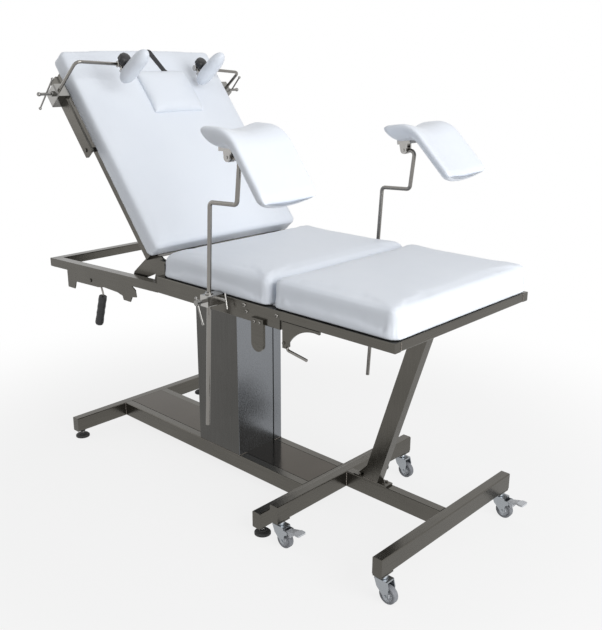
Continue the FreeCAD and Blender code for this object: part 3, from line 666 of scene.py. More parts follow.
@dataclass(frozen=True)
class PadForm:
    """Sizes of a boxed pad, in metres, in its own frame with Z out of its face."""

    low: Colour
    high: Colour
    corner: float = 0.022
    top_edge: float = 0.018
    base_edge: float = 0.006
    crown: float = 0.0
    waist: float = 0.0
    slope: float = 0.0

    def shell(self, around: int = 220, across: int = 26) -> Shell:
        """The pad's skin.

        A section of inset d(v) and height z(v) runs from the middle of the base,
        round the base edge, up the side and round the top edge to the middle;
        each ring is the plan loop moved in by d, and shrunk towards the middle
        on the flats, where the top also rises by crown (1 - f^2).

        Args:
            around: points round the plan.
            across: points over each flat.

        Returns:
            The closed shell in the pad's frame.
        """
        low, high = np.array(self.low), np.array(self.high)
        mid, half = (low + high) / 2, (high - low) / 2
        plan, normal = rounded_plan(half[0], half[1], self.corner, around, self.waist)
        q = np.linspace(0, np.pi / 2, 9)
        eb, et = self.base_edge, self.top_edge
        f0 = np.linspace(0.02, 1, across)
        inset = np.concatenate([
            np.full(across, eb), eb * (1 - np.sin(q)), np.linspace(0, 0, 6),
            et * (1 - np.cos(q)), np.full(across, et)])
        shrink = np.concatenate([f0, np.ones(9 + 6 + 9), f0[::-1]])
        height = np.concatenate([
            np.full(across, low[2]), low[2] + eb * (1 - np.cos(q)),
            np.linspace(low[2] + eb, high[2] - et, 6),
            high[2] - et * (1 - np.sin(q)), np.full(across, high[2])])
        lift = np.concatenate([np.zeros(across + 24), self.crown * (1 - f0[::-1] ** 2)])
        lean = self.slope * (height - low[2])
        ring = plan[:, None] - normal[:, None] * (inset + lean)[None, :, None]
        ring = ring * shrink[None, :, None]
        up = np.broadcast_to((height + lift)[None], ring.shape[:2])
        grid = np.concatenate([ring + mid[:2], up[..., None]], -1)
        return Shell.loft(grid)


@dataclass(frozen=True)
class Stuffing:
    """How a cover is blown up by its foam."""

    voxel: float = 0.006
    pressure: float = 4.0
    cap: float = 0.005
    stiff: float = 25.0
    steps: int = 20
    held: Optional[Callable[[Array], Array]] = None

    def swell(self, pad: bpy.types.Object) -> None:
        """Remeshes the pad, lets a cloth cover swell, and keeps the result.

        Args:
            pad: the piece; its modifiers are applied to its mesh.
        """
        self._settle(pad, "REMESH", mode="VOXEL", voxel_size=self.voxel,
                     use_smooth_shade=True)
        start = rows(pad.data.vertices, "co")
        held = self.held(start) if self.held else np.zeros(len(start), bool)
        group = pad.vertex_groups.new(name="held")
        group.add(np.flatnonzero(held).tolist(), 1.0, "REPLACE")
        cloth = pad.modifiers.new("cover", "CLOTH")
        s = cloth.settings
        s.quality = 4
        s.mass = 0.25
        s.tension_stiffness = self.stiff
        s.compression_stiffness = self.stiff
        s.shear_stiffness = self.stiff * 0.6
        s.bending_stiffness = 1.5
        s.use_pressure = True
        s.uniform_pressure_force = self.pressure
        s.effector_weights.gravity = 0
        s.vertex_group_mass = "held"
        cloth.collision_settings.use_collision = False
        scene = bpy.context.scene
        cloth.point_cache.frame_start, cloth.point_cache.frame_end = 1, self.steps
        for step in range(1, self.steps + 1):
            scene.frame_set(step)
        shape = pad.evaluated_get(bpy.context.evaluated_depsgraph_get())
        end = rows(shape.data.vertices, "co")
        pad.modifiers.remove(cloth)
        scene.frame_set(1)
        step = end - start
        far = np.linalg.norm(step, axis=1, keepdims=True)
        step *= np.minimum(1.0, self.cap / np.maximum(far, 1e-9))
        pad.data.vertices.foreach_set("co", (start + step).ravel().astype(np.float32))
        pad.vertex_groups.clear()
        self._settle(pad, "SUBSURF", levels=1, render_levels=1)
        pad.data.shade_smooth()

    @staticmethod
    def _settle(pad: bpy.types.Object, kind: str, **settings: Any) -> None:
        """Adds a modifier and applies it to the mesh at once."""
        made = pad.modifiers.new(kind.lower(), kind)
        for key, value in settings.items():
            setattr(made, key, value)
        shape = pad.evaluated_get(bpy.context.evaluated_depsgraph_get())
        mesh = bpy.data.meshes.new_from_object(shape)
        pad.modifiers.remove(made)
        pad.data = mesh


@dataclass
class Workshop:
    """Keeps each finish once, and seats and reports the pieces."""

    made: dict[Any, bpy.types.Material] = field(default_factory=dict)

    def coat(self, finish: Any) -> bpy.types.Material:
        """The finish's material, made once."""
        if finish not in self.made:
            self.made[finish] = finish.paint()
        return self.made[finish]

    def dress(self, piece: bpy.types.Object, finish: Any) -> bpy.types.Object:
        """Gives a piece one finish in place of what it had."""
        piece.data.materials.clear()
        piece.data.materials.append(self.coat(finish))
        return piece

    def seat(self, piece: bpy.types.Object, body: str, finish: Any,
             slot: str) -> bpy.types.Object:
        """Dresses a new piece and lets it ride on a body.

        Args:
            piece: the new object.
            body: the body it moves with.
            finish: its finish.
            slot: the record's material slot that the finish stands for; not used.

        Returns:
            The piece.
        """
        self.dress(piece, finish)
        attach(piece, body)
        log.info("%s rides on %s: %d faces", piece.name, body, len(piece.data.polygons))
        return piece


STEEL = SatinSteel("satin_steel")
BASE_STEEL = SatinSteel("satin_base", crossing=(Band(0, -0.7005, -0.6699),
                                                Band(0, 0.2249, 0.2555)))
SEAT_STEEL = SatinSteel("satin_seat", crossing=(Band(1, -0.27, 0.27),))
FOOT_STEEL = SatinSteel("satin_foot", crossing=(Band(1, -0.275, 0.275),))
TROLLEY_STEEL = SatinSteel("satin_trolley", crossing=(Band(0, 0.3, 0.3311),
                                                      Band(0, 0.6599, 0.691)))
# The column's front colour is paler and cooler: a painted highlight on faces towards the
# foot end.
COLUMN_STEEL = SatinSteel("satin_column", tint=(0.088, 0.086, 0.081),
                          front=(0.21, 0.22, 0.235), along=2)
POST_STEEL = SatinSteel("satin_post", along=2)
BAR_STEEL = PolishedSteel("polished_bar")
FITTING_STEEL = PolishedSteel("polished_fitting", tint=(0.42, 0.41, 0.395),
                              rough=0.2, marks=140.0)
CLAMP_STEEL = PolishedSteel("polished_clamp", tint=(0.25, 0.245, 0.235),
                            rough=0.17, marks=140.0)
CASTER_STEEL = PolishedSteel("plated_fork", tint=(0.36, 0.38, 0.40),
                             rough=0.28, marks=140.0)
SHEET_STEEL = PolishedSteel("polished_sheet", tint=(0.075, 0.066, 0.055), rough=0.16)
WELD_STEEL = PolishedSteel("weld_bead", tint=(0.16, 0.145, 0.13), rough=0.33, marks=400.0)
VINYL = CoatedFabric("white_vinyl")
PILLOW_VINYL = CoatedFabric("pillow_vinyl", drape=4.0)
MOULDED_VINYL = CoatedFabric("moulded_skin", rough=0.34, pebble=1400.0)
BLACK = Moulding("black_plastic", (0.016, 0.016, 0.017))
KNOB_BLACK = Moulding("black_knob", (0.006, 0.006, 0.0065), rough=0.3)
BLACK_PAINT = Moulding("black_paint", (0.014, 0.014, 0.015), rough=0.28, depth=0.00003)
RUBBER = Moulding("black_rubber", (0.022, 0.022, 0.022), rough=0.7, grain=900.0)
TREAD = Moulding("grey_tread", (0.21, 0.22, 0.24), rough=0.55, scuff=(0.12, 0.12, 0.12))
WHEEL = Moulding("pale_hub", (0.52, 0.54, 0.57), rough=0.42, scuff=(0.4, 0.4, 0.4))
BAND = Webbing("woven_band")
LINING = BoardLining("board_lining")

REST_TILT = math.radians(51.2)
REST_LONG = 0.712
REST_AXES = np.array([
    [math.cos(REST_TILT), 0.0, -math.sin(REST_TILT)],
    [0.0, 1.0, 0.0],
    [math.sin(REST_TILT), 0.0, math.cos(REST_TILT)],
])
ALONG_X = np.array([[0, 1, 0], [0, 0, 1], [1, 0, 0]], float)
ALONG_Y = np.array([[1, 0, 0], [0, 0, 1], [0, 1, 0]], float)
HINGE = np.array([-0.1832, 0.0, 0.7118])
REST_TOP = HINGE - np.array([REST_LONG + 0.032, 0.0, -0.055]) @ REST_AXES


@dataclass
class Mattress:
    """Seat, foot and back pads, each with a thin lining under its base."""

    half: float = 0.300
    frame_top: float = 0.690
    face: float = 0.771
    board: float = 0.0010
    seat: Pair = (-0.151, 0.296)
    foot: Pair = (0.299, 0.702)
    foot_lift: float = 0.0004
    back: float = REST_LONG
    back_thick: float = 0.060
    end_gap: float = 0.002
    side_gap: float = 0.003
    top_gap: float = 0.0035
    rest_band: float = 0.003
    roll_run: float = 0.065
    arch: float = 0.009
    arch_run: float = 0.05

    def lining(self, run: Pair, base: float, inset: float) -> Shell:
        """The thin lining under a pad.

        Args:
            run: the pad's two ends.
            base: height of the lining's underside.
            inset: how far it stands in from the pad's edges.

        Returns:
            The closed shell in the pad's frame.
        """
        side = self.half - inset
        form = PadForm((run[0] + inset, -side, base),
                       (run[1] - inset, side, base + self.board + 0.001),
                       corner=0.02, top_edge=0.0004, base_edge=0.0004)
        return form.shell(120, 3)

    def flat_pad(self, shop: Workshop, name: str, node: str, body: str,
                 run: Pair, lift: float, edge: float,
                 roll: float = 0.0) -> None:
        """One level pad and its lining.

        Args:
            shop: the workshop.
            name: the piece's first word.
            node: the solid that it stands for.
            body: the body that carries it.
            run: its two ends along the table.
            lift: height of its base above the frame.
            edge: radius of its top edge.
            roll: how far the top falls away towards the pad's rear end.
        """
        base = self.frame_top + lift
        floor = base + self.board
        side = self.half - self.side_gap
        form = PadForm((run[0] + self.end_gap, -side, floor),
                       (run[1] - self.end_gap, side, self.face - self.top_gap),
                       corner=0.026, top_edge=edge, base_edge=0.003,
                       crown=0.0035, waist=0.0015)
        skin = form.shell()
        back = np.clip(1 - (skin.verts[:, 0] - run[0]) / self.roll_run, 0, 1) ** 2
        skin.verts[:, 2] -= roll * back * (skin.verts[:, 2] - floor) / (self.face - floor)
        pad = skin.build(name + "_pad")
        Stuffing(voxel=0.0065, cap=0.004,
                 held=lambda p: p[:, 2] < floor + self.rest_band).swell(pad)
        shop.seat(pad, body, VINYL, "white_vinyl")
        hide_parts(node)
        shop.seat(self.lining(run, base, 0.016).build(name + "_lining"), body, LINING,
                  "black_plastic")

    def back_pad(self, shop: Workshop) -> None:
        """The backrest's pad and lining, in the backrest's own frame."""
        n0 = -self.back_thick
        side = self.half - self.side_gap
        form = PadForm((self.end_gap, -side, n0 + self.board),
                       (self.back - self.end_gap, side, -0.003),
                       corner=0.019, top_edge=0.013, base_edge=0.006,
                       crown=0.003, waist=0.0015)
        skin = form.shell(260, 30)
        arch = np.cos(np.clip(skin.verts[:, 1] / self.half, -1, 1) * np.pi / 2)
        fade = np.clip(1 - skin.verts[:, 0] / self.arch_run, 0, 1)
        skin.verts[:, 0] -= self.arch * arch * fade
        pad = skin.moved(REST_TOP, REST_AXES).build("back_pad")

        def on_board(points: Array) -> Array:
            """Which points rest on the frame."""
            up = (points - REST_TOP) @ REST_AXES[2]
            return up < n0 + self.board + self.rest_band

        Stuffing(voxel=0.0075, cap=0.0035, held=on_board).swell(pad)
        shop.seat(pad, "backrest", VINYL, "white_vinyl")
        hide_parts("backrest_cushion")
        lining = self.lining((0.0, self.back), n0, 0.018).moved(REST_TOP, REST_AXES)
        shop.seat(lining.build("back_lining"), "backrest", LINING, "black_plastic")

    def build(self, shop: Workshop) -> None:
        """All three pads."""
        self.flat_pad(shop, "seat", "seat_cushion", "table_base", self.seat,
                      0.0, 0.024, roll=0.020)
        self.flat_pad(shop, "foot", "foot_cushion", "foot_section", self.foot,
                      self.foot_lift, 0.016)
        self.back_pad(shop)


@dataclass
class HeadRest:
    """Loose pillow on the backrest, held by a slanting elastic band."""

    low: Pair = (0.098, -0.068)
    high: Pair = (0.256, 0.130)
    thick: float = 0.034
    plump: float = 0.42
    waist: Pair = (0.030, 0.022)
    seam: Pair = (0.0045, 0.002)
    swell: float = 0.011
    base_gap: float = 0.0012
    band_y: Pair = (0.0295, 0.0565)
    band_half: float = 0.0105
    band_thick: float = 0.0018
    band_lift: float = 0.0004
    band_start: tuple[Pair, ...] = ((0.112, 0.013), (0.103, 0.012), (0.096, 0.004))
    band_end: float = 0.038
    wrap: float = 0.014
    pad_depth: float = 0.060

    def pillow(self, shop: Workshop) -> None:
        """A sewn envelope, swollen in the middle, with sharp corners.

        Height over the face is thick (1 - a^4)(1 - b^4) to the power plump, with
        a and b the shares across and along, and the sides pull in between the
        corners by a half wave.
        """
        nu, nv = 60, 56
        a, b = np.meshgrid(np.linspace(-1, 1, nu), np.linspace(-1, 1, nv), indexing="ij")
        mid = (np.array(self.low) + self.high) / 2
        half = (np.array(self.high) - self.low) / 2
        s = mid[0] + half[0] * a * (1 - self.waist[0] * np.cos(b * np.pi / 2))
        y = mid[1] + half[1] * b * (1 - self.waist[1] * np.cos(a * np.pi / 2))
        puff = np.clip((1 - a ** 4) * (1 - b ** 4), 0, 1) ** self.plump
        seam = self.seam[0] + self.seam[1] * puff
        top = np.stack([s, y, seam + (self.thick - self.swell) * puff], -1)
        base = np.stack([s, y, self.base_gap + 0 * s], -1)
        grid = np.concatenate([top, base[:, ::-1]], 1).transpose(1, 0, 2)
        pad = Shell.loft(grid).moved(REST_TOP, REST_AXES).build("head_pillow")

        def on_back(points: Array) -> Array:
            """Which points lie on the backrest."""
            return (points - REST_TOP) @ REST_AXES[2] < 0.004

        Stuffing(voxel=0.004, cap=0.004, pressure=3.0, held=on_back).swell(pad)
        shop.seat(pad, "backrest", PILLOW_VINYL, "white_vinyl")
        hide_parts("pillow")

    def band(self, shop: Workshop) -> None:
        """The strap from the pillow over the backrest's top edge.

        Its middle line drops off the pillow, lies on the pad, turns round the
        pad's two top edges by quarter circles and ends under the pad; a flat
        section is carried along it.
        """
        r = self.wrap
        h = self.band_thick / 2 + self.band_lift
        q = np.linspace(0, np.pi / 2, 10)
        n0 = -self.pad_depth
        run = np.vstack([
            [*self.band_start, (0.088, h), (0.06, h), (r + 0.004, h)],
            np.stack([r - (r + h) * np.sin(q), -r + (r + h) * np.cos(q)], -1),
            np.stack([r - (r + h) * np.cos(q), n0 + r - (r + h) * np.sin(q)], -1),
            [[self.band_end, n0 - h]],
        ])
        way = unit(np.gradient(run, axis=0))
        out = np.stack([-way[:, 1], way[:, 0]], -1)
        w = np.array([-1, 1, 1, -1]) * self.band_half
        t = np.array([-1, -1, 1, 1]) * self.band_thick / 2
        slant = np.clip(run[:, 0] / self.low[0], 0, 1)
        middle = self.band_y[0] + (self.band_y[1] - self.band_y[0]) * slant
        grid = np.stack([
            run[None, :, 0] + t[:, None] * out[None, :, 0],
            middle[None] + w[:, None],
            run[None, :, 1] + t[:, None] * out[None, :, 1]], -1)
        strap = Shell.loft(grid).moved(REST_TOP, REST_AXES).build("pillow_band", 60)
        shop.seat(strap, "backrest", BAND, "black_strap")
        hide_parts("pillow_strap")

    def build(self, shop: Workshop) -> None:
        """Pillow and band."""
        self.pillow(shop)
        self.band(shop)


@dataclass
class LegRest:
    """Saddle-shaped moulded pad on top of one leg rod.

    It tips about the rod's eye, and seat is where its lower rim starts from
    there.
    """

    side: Side
    eye: Array
    tip: float = 0.0
    level: float = 0.058
    bend: float = 0.070
    fall: float = math.radians(52)
    slope: float = 0.146
    half: float = 0.0995
    thick: float = 0.036
    sag: float = 0.025
    squareness: Pair = (0.33, 0.95)
    end_draw: float = 0.013
    seat: Colour = (-0.007, 0.0, 0.051)

    def spine(self, s: Array) -> tuple[Array, Array, Array]:
        """Centre line of the pad's lower rim.

        Straight for the level length, then an arc of the bend radius, then
        straight down the slope.

        Args:
            s: lengths along the line.

        Returns:
            X, Z and the angle of fall at each length.
        """
        arc = self.bend * self.fall
        a = np.clip((s - self.level) / self.bend, 0, self.fall)
        on = np.clip(s - self.level - arc, 0, None)
        x = np.minimum(s, self.level) + self.bend * np.sin(a) + on * math.cos(self.fall)
        z = self.bend * (np.cos(a) - 1) - on * math.sin(self.fall)
        return x, z, a

    def shell(self) -> Shell:
        """The pad's skin.

        Across the pad the middle surface is t/2 - sag (1 - c^2), and the section
        is a squared ellipse round it, with cosine and sine raised to the two
        powers of squareness; towards both ends the ellipse closes as the square
        root of 1 - e^2, with e the share of the end's rounding.

        Returns:
            The closed shell in the row frame.
        """
        total = self.level + self.bend * self.fall + self.slope
        end = 0.6 * self.thick
        v = np.concatenate([end * (1 - np.cos(np.linspace(0.12, np.pi / 2, 10))),
                            np.linspace(end, total - end, 60)[1:-1],
                            total - end * (1 - np.cos(np.linspace(np.pi / 2, 0.12, 10)))])
        edge = np.minimum(v, total - v)
        e = np.clip(1 - edge / end, 0, 1)
        close = np.sqrt(1 - e ** 2)
        x, z, a = self.spine(v)
        u = circle(96)
        c, w = (np.sign(f(u)) * np.abs(f(u)) ** power
                for f, power in zip((np.cos, np.sin), self.squareness))
        trim = self.half - self.end_draw * (1 - close)
        across = c * trim[None]
        swell = 1 + 0.10 * (1 - c ** 2)
        up = (self.thick / 2 - self.sag * (1 - c ** 2)
              + w * swell * self.thick / 2 * close[None] - 0.0012)
        px = x[None] + up * np.sin(a)[None]
        pz = z[None] + up * np.cos(a)[None]
        grid = np.stack([px, across * np.ones_like(px), pz], -1)
        t = math.radians(self.tip)
        axes = np.array([[math.cos(t), 0, -math.sin(t)], [0, 1, 0],
                         [math.sin(t), 0, math.cos(t)]])
        return Shell.loft(grid).shifted(self.seat).moved(self.eye, axes)

    def build(self, shop: Workshop) -> None:
        """The padded saddle."""
        name = self.side.word
        pad = self.shell().build(f"{name}_leg_saddle")
        shop.seat(pad, f"{name}_leg_rest", MOULDED_VINYL, "white_vinyl")
        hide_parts(f"{name}_leg_pad")


@dataclass
class ShoulderRest:
    """Padded roll by one shoulder, with the sleeve and knob that hold its arm."""

    side: Side
    post: float
    height: float
    arm: float
    turn: float
    lean: float
    post_y: float = -0.334
    reach: float = 0.046
    radius: float = 0.025
    low: float = -0.021
    high: float = 0.138
    taper: float = 0.08
    dome: float = 0.32
    skin: float = 0.001
    bore: float = 0.0086
    stub: tuple[Pair, ...] = ((0.007, 0.004), (0.007, 0.018), (0.011, 0.020),
                              (0.011, 0.0225))
    neck: tuple[Pair, ...] = ((0.006, 0.004), (0.006, 0.012), (0.008, 0.012),
                              (0.008, 0.0142))
    lobes: int = 7
    scallop: float = 0.0026

    def carry(self, shell: Shell) -> Shell:
        """Brings a shell from the knob's own frame to the row frame.

        In the knob's frame Y runs along the arm and Z out along the roll; the
        frame leans about the arm, then turns about the post.

        Args:
            shell: the shell in the knob's frame.

        Returns:
            The shell in its place on the backrest.
        """
        turn, lean = math.radians(self.turn), math.radians(self.lean)
        ct, st = math.cos(turn), math.sin(turn)
        cl, sl = math.cos(lean), math.sin(lean)
        axes = np.array([[cl * ct, -cl * st, -sl], [st, ct, 0.0],
                         [sl * ct, -sl * st, cl]])
        at = np.array([self.post, self.post_y, self.height]) + axes[1] * self.arm
        flip = np.array([1.0, -float(self.side.value), 1.0])
        return shell.moved(at * flip, axes * flip).moved(REST_TOP, REST_AXES)

    def roll(self) -> Shell:
        """The roll: a stretched dome at both ends, slimmer at its tip.

        The radius falls off by taper along the run, and over the domes as the
        square root of 1 - e^2.6, with e the share of the dome.
        """
        t = np.linspace(0, 1, 40)
        e = np.clip(np.abs(2 * t - 1) * (1 + self.dome) - self.dome, 0, 1)
        r = self.radius * (1 - self.taper * t) * np.sqrt(np.clip(1 - e ** 2.6, 0, 1))
        r = r - self.skin
        z = self.low + self.skin + (self.high - self.low - 2 * self.skin) * t
        body = lathe(np.stack([np.maximum(r, 0.0004), z], -1), 56)
        return body.shifted([self.reach, 0, 0])

    def sleeve(self) -> Shell:
        """Sleeve on the arm with rolled ends, its stub and the knob's neck."""
        z = np.linspace(-0.014, 0.014, 25)
        r = self.bore + 0.0012 * (np.abs(z) > 0.0105) * (np.abs(z) < 0.0135)
        tube = lathe(np.stack([r, z], -1), 40).moved(np.zeros(3), ALONG_Y)
        stub = lathe(self.stub, 32).moved(np.zeros(3), ALONG_X)
        return Shell.joined([tube, stub, lathe(self.neck, 32)])

    def knob(self) -> Shell:
        """Domed grip whose rim is scalloped.

        The rim's radius loses scallop max(0, cos(lobes u))^2, faded out over
        the dome.
        """
        q = np.linspace(0, 1, 14)
        z = np.concatenate([[0.014, 0.0142, 0.015], np.linspace(0.0185, 0.029, 6),
                            0.029 + 0.011 * np.sin(q[1:] * np.pi / 2)])
        r = np.concatenate([[0.004, 0.0135, 0.0172], np.full(6, 0.020),
                            0.020 * np.cos(q[1:] * np.pi / 2) ** 0.8])
        r = np.maximum(r, 0.0004)
        u = circle(98)
        bite = np.clip(np.cos(self.lobes * u), 0, 1) ** 2
        fade = np.clip((r - 0.011) / 0.008, 0, 1) * np.clip((0.036 - z) / 0.007, 0, 1)
        return Shell.loft(polar(r - self.scallop * bite * fade, u, z))

    def build(self, shop: Workshop) -> None:
        """Roll, sleeve and knob."""
        name = self.side.word
        body = f"{name}_shoulder_rest"
        pad = self.carry(self.roll()).build(f"{name}_shoulder_roll")
        Stuffing(voxel=0.004, cap=0.0012, pressure=2.0).swell(pad)
        shop.seat(pad, body, VINYL, "white_vinyl")
        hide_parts(f"{name}_shoulder_pad")
        grip = self.carry(self.knob()).build(f"{name}_arm_knob", 35)
        shop.seat(grip, body, KNOB_BLACK, "black_plastic")
        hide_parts(f"{name}_shoulder_knob")
        sleeve = self.carry(self.sleeve()).build(f"{name}_arm_sleeve", 30)
        shop.seat(sleeve, body, FITTING_STEEL, "polished_rod")


@dataclass
class SteelWork:
    """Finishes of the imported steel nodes, and the welds between tubes.

    Rows of upright beads hold all their X, all their Y and their two levels;
    the rows of the back are in the backrest's own frame.
    """

    finishes: dict[str, Any] = field(default_factory=lambda: {
        "base_tubes": BASE_STEEL, "seat_frame_tubes": SEAT_STEEL,
        "head_frame_tubes": SEAT_STEEL, "foot_frame_tubes": FOOT_STEEL,
        "backrest_frame_tubes": SEAT_STEEL, "trolley_tubes": TROLLEY_STEEL,
        "trolley_post": POST_STEEL, "column_shell": COLUMN_STEEL,
        "column_front_panel": COLUMN_STEEL, "base_plate": SHEET_STEEL,
        "hinge_brackets": STEEL, "backrest_hinge_arms": STEEL,
        "lever_bracket": STEEL, "leg_clamps": FITTING_STEEL,
        "dock_tongues": STEEL, "foot_gussets": STEEL, "accessory_rails": STEEL,
        "release_lever": BAR_STEEL, "release_grip": BLACK,
        "gas_cylinder": BLACK_PAINT, "gas_rod": BAR_STEEL, "foot_latch": BAR_STEEL,
    })
    thin: float = 0.0012
    table: Beads = (
        ((-0.670, 0.225), (-0.096, -0.066, 0.066, 0.096), (0.029, 0.0755)),
        ((-0.166, -0.136, -0.08, -0.05, 0.308, 0.338), (-0.27, 0.27), (0.642, 0.688)),
        ((-0.728,), (-0.27, 0.27), (0.622, 0.646)))
    column_ring: tuple[Pair, ...] = ((-0.243, -0.096), (-0.05, -0.096), (-0.05, -0.062))
    column_ends: Pair = (0.0775, 0.6395)
    foot: Beads = (
        ((0.3385, 0.3635, 0.561, 0.611, 0.674, 0.699), (-0.275, 0.275), (0.6674, 0.6884)),
        ((0.331, 0.660), (-0.015, 0.015), (0.082, 0.1285)))
    post_seams: tuple[Colour, ...] = ((0.394, 0.443, 0.1355), (0.560, 0.610, 0.6598))
    back: Beads = (
        ((0.045, 0.070, REST_LONG - 0.308, REST_LONG - 0.283), (-0.262, 0.262),
         (-0.083, -0.062)),
        ((REST_LONG - 0.033, REST_LONG - 0.008), (-0.256, 0.256), (-0.083, -0.062)))

    def finish_nodes(self, shop: Workshop) -> None:
        """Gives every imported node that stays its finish."""
        rules = (("leveller", RUBBER), ("caster_fork", CASTER_STEEL),
                 ("brake_pedal", WHEEL), ("_knob", BLACK), ("_clamp", CLAMP_STEEL),
                 ("_bush", FITTING_STEEL), ("_handle", FITTING_STEEL),
                 ("_bracket", FITTING_STEEL), ("_rod", BAR_STEEL))
        for name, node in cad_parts.items():
            finish = self.finishes.get(name)
            if finish is None:
                finish = next((f for word, f in rules if word in name), STEEL)
            shop.dress(node, finish)

    @staticmethod
    def uprights(spots: Beads) -> list[Shell]:
        """Upright beads, from rows of all their X, all their Y and two levels."""
        return [weld_bead((x, y, low), (x, y, high))
                for xs, ys, (low, high) in spots for y in ys for x in xs]

    @staticmethod
    def lay(shop: Workshop, beads: Shell, name: str, body: str) -> None:
        """Makes one piece of all the beads and lets it ride on a body."""
        shop.seat(beads.build(name), body, WELD_STEEL, "brushed_tube")

    def frame_welds(self, shop: Workshop) -> None:
        """Weld beads of the base, the seat and head frames and the column."""
        beads = self.uprights(self.table)
        x, y = self.column_ring[0]
        for z in self.column_ends:
            for side in Side:
                ring = [(a, -side.value * b, z) for a, b in self.column_ring]
                beads += [weld_bead(*ends, self.thin) for ends in zip(ring, ring[1:])]
            beads.append(weld_bead((x, y, z), (x, -y, z), self.thin))
        self.lay(shop, Shell.joined(beads), "frame_welds", "table_base")

    def foot_welds(self, shop: Workshop) -> None:
        """Weld beads of the trolley, its post and the foot frame."""
        beads = self.uprights(self.foot)
        for low, high, z in self.post_seams:
            for y in (-0.015, 0.015):
                beads.append(weld_bead((low, y, z), (high, y, z), self.thin))
        self.lay(shop, Shell.joined(beads), "foot_welds", "foot_section")

    def back_welds(self, shop: Workshop) -> None:
        """Weld beads of the backrest's frame."""
        beads = Shell.joined(self.uprights(self.back)).moved(REST_TOP, REST_AXES)
        self.lay(shop, beads, "backrest_welds", "backrest")

    def build(self, shop: Workshop) -> None:
        """Finishes, then welds."""
        self.finish_nodes(shop)
        self.frame_welds(shop)
        self.foot_welds(shop)
        self.back_welds(shop)


@dataclass
class SocketScrew:
    """Button-head screw with a hexagon socket."""

    radius: float
    high: float
    key: float

    def shell(self) -> Shell:
        """The head and its socket as one surface of u and v.

        Outside, the radius follows a dome; from the socket's lip inwards it is
        the hexagon's polar radius, key / (2 cos(u mod 60 - 30)).

        Returns:
            The closed shell, seated on local Z = 0.
        """
        u = circle(60)
        q = np.linspace(0, np.pi / 2 * 0.72, 8)
        dome_r = self.radius * np.cos(q)
        dome_z = self.high * (0.25 + 0.75 * np.sin(q) / math.sin(q[-1]))
        hexed = self.key / 2 / np.cos((u % (np.pi / 3)) - np.pi / 6)
        one = np.ones_like(u)
        r = np.hstack([one * self.radius, one * dome_r[None], hexed * 1.06,
                       hexed, hexed * 0.98, one * 0.0002])
        top = self.high
        z = np.concatenate([[0.0], dome_z, [top, top - 0.0004],
                            [top * 0.42, top * 0.36]])
        return Shell.loft(polar(r, u, z))


@dataclass
class Fasteners:
    """Rail screws and the threads of the levelling feet.

    Each screw is given by its X, its Z, its head's radius and its distance
    from the middle.
    """

    rail: tuple[tuple[float, float, float, float], ...] = (
        (0.207, 0.680, 0.0060, 0.300), (0.216, 0.664, 0.0050, 0.300),
        (0.327, 0.676, 0.0055, 0.300), (0.253, 0.647, 0.0045, 0.308),
        (0.272, 0.647, 0.0045, 0.308))
    head: float = 0.0038
    studs: tuple[tuple[str, float], ...] = (("rear", -0.685), ("front", 0.240))
    stud_y: float = 0.275
    stud_thread: tuple[float, float, float, float] = (0.005, 0.0138, 0.0186, 0.0015)

    def rail_screws(self, shop: Workshop) -> None:
        """All screw heads on the outer faces of the rails."""
        heads: list[Shell] = []
        for x, z, r, y in self.rail:
            screw = SocketScrew(r, self.head, r).shell()
            for way in (-1, 1):
                axes = np.array([[1, 0, 0], [0, 0, 1], [0, way, 0]], float)
                heads.append(screw.moved(np.array([x, way * y, z]), axes))
        piece = Shell.joined(heads).build("rail_screws", 35)
        shop.seat(piece, "table_base", BAR_STEEL, "polished_rod")
        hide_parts("rail_bolts")

    @staticmethod
    def thread(radius: float, low: float, high: float, pitch: float) -> Shell:
        """A raised thread: a thin section carried up a helix.

        Args:
            radius: radius of the helix.
            low: its lower end.
            high: its upper end.
            pitch: its rise in one turn.

        Returns:
            The closed shell.
        """
        turns = (high - low) / pitch
        t = np.linspace(0, turns * 2 * np.pi, int(turns * 28))
        path = polar(radius, t, low + pitch * t / (2 * np.pi))
        return rail_sweep(path, np.full(len(t), pitch * 0.32), 6)

    def leveller_threads(self, shop: Workshop) -> None:
        """The bare stretch of stud under each lock nut."""
        for end, x in self.studs:
            for side in Side:
                y = side.value * self.stud_y
                ridge = self.thread(*self.stud_thread).shifted([x, y, 0])
                name = f"{side.word}_{end}"
                piece = ridge.build(f"foot_thread_{name}")
                shop.seat(piece, f"leveller_{name}", FITTING_STEEL, "polished_rod")

    def build(self, shop: Workshop) -> None:
        """Screws and threads."""
        self.rail_screws(shop)
        self.leveller_threads(shop)


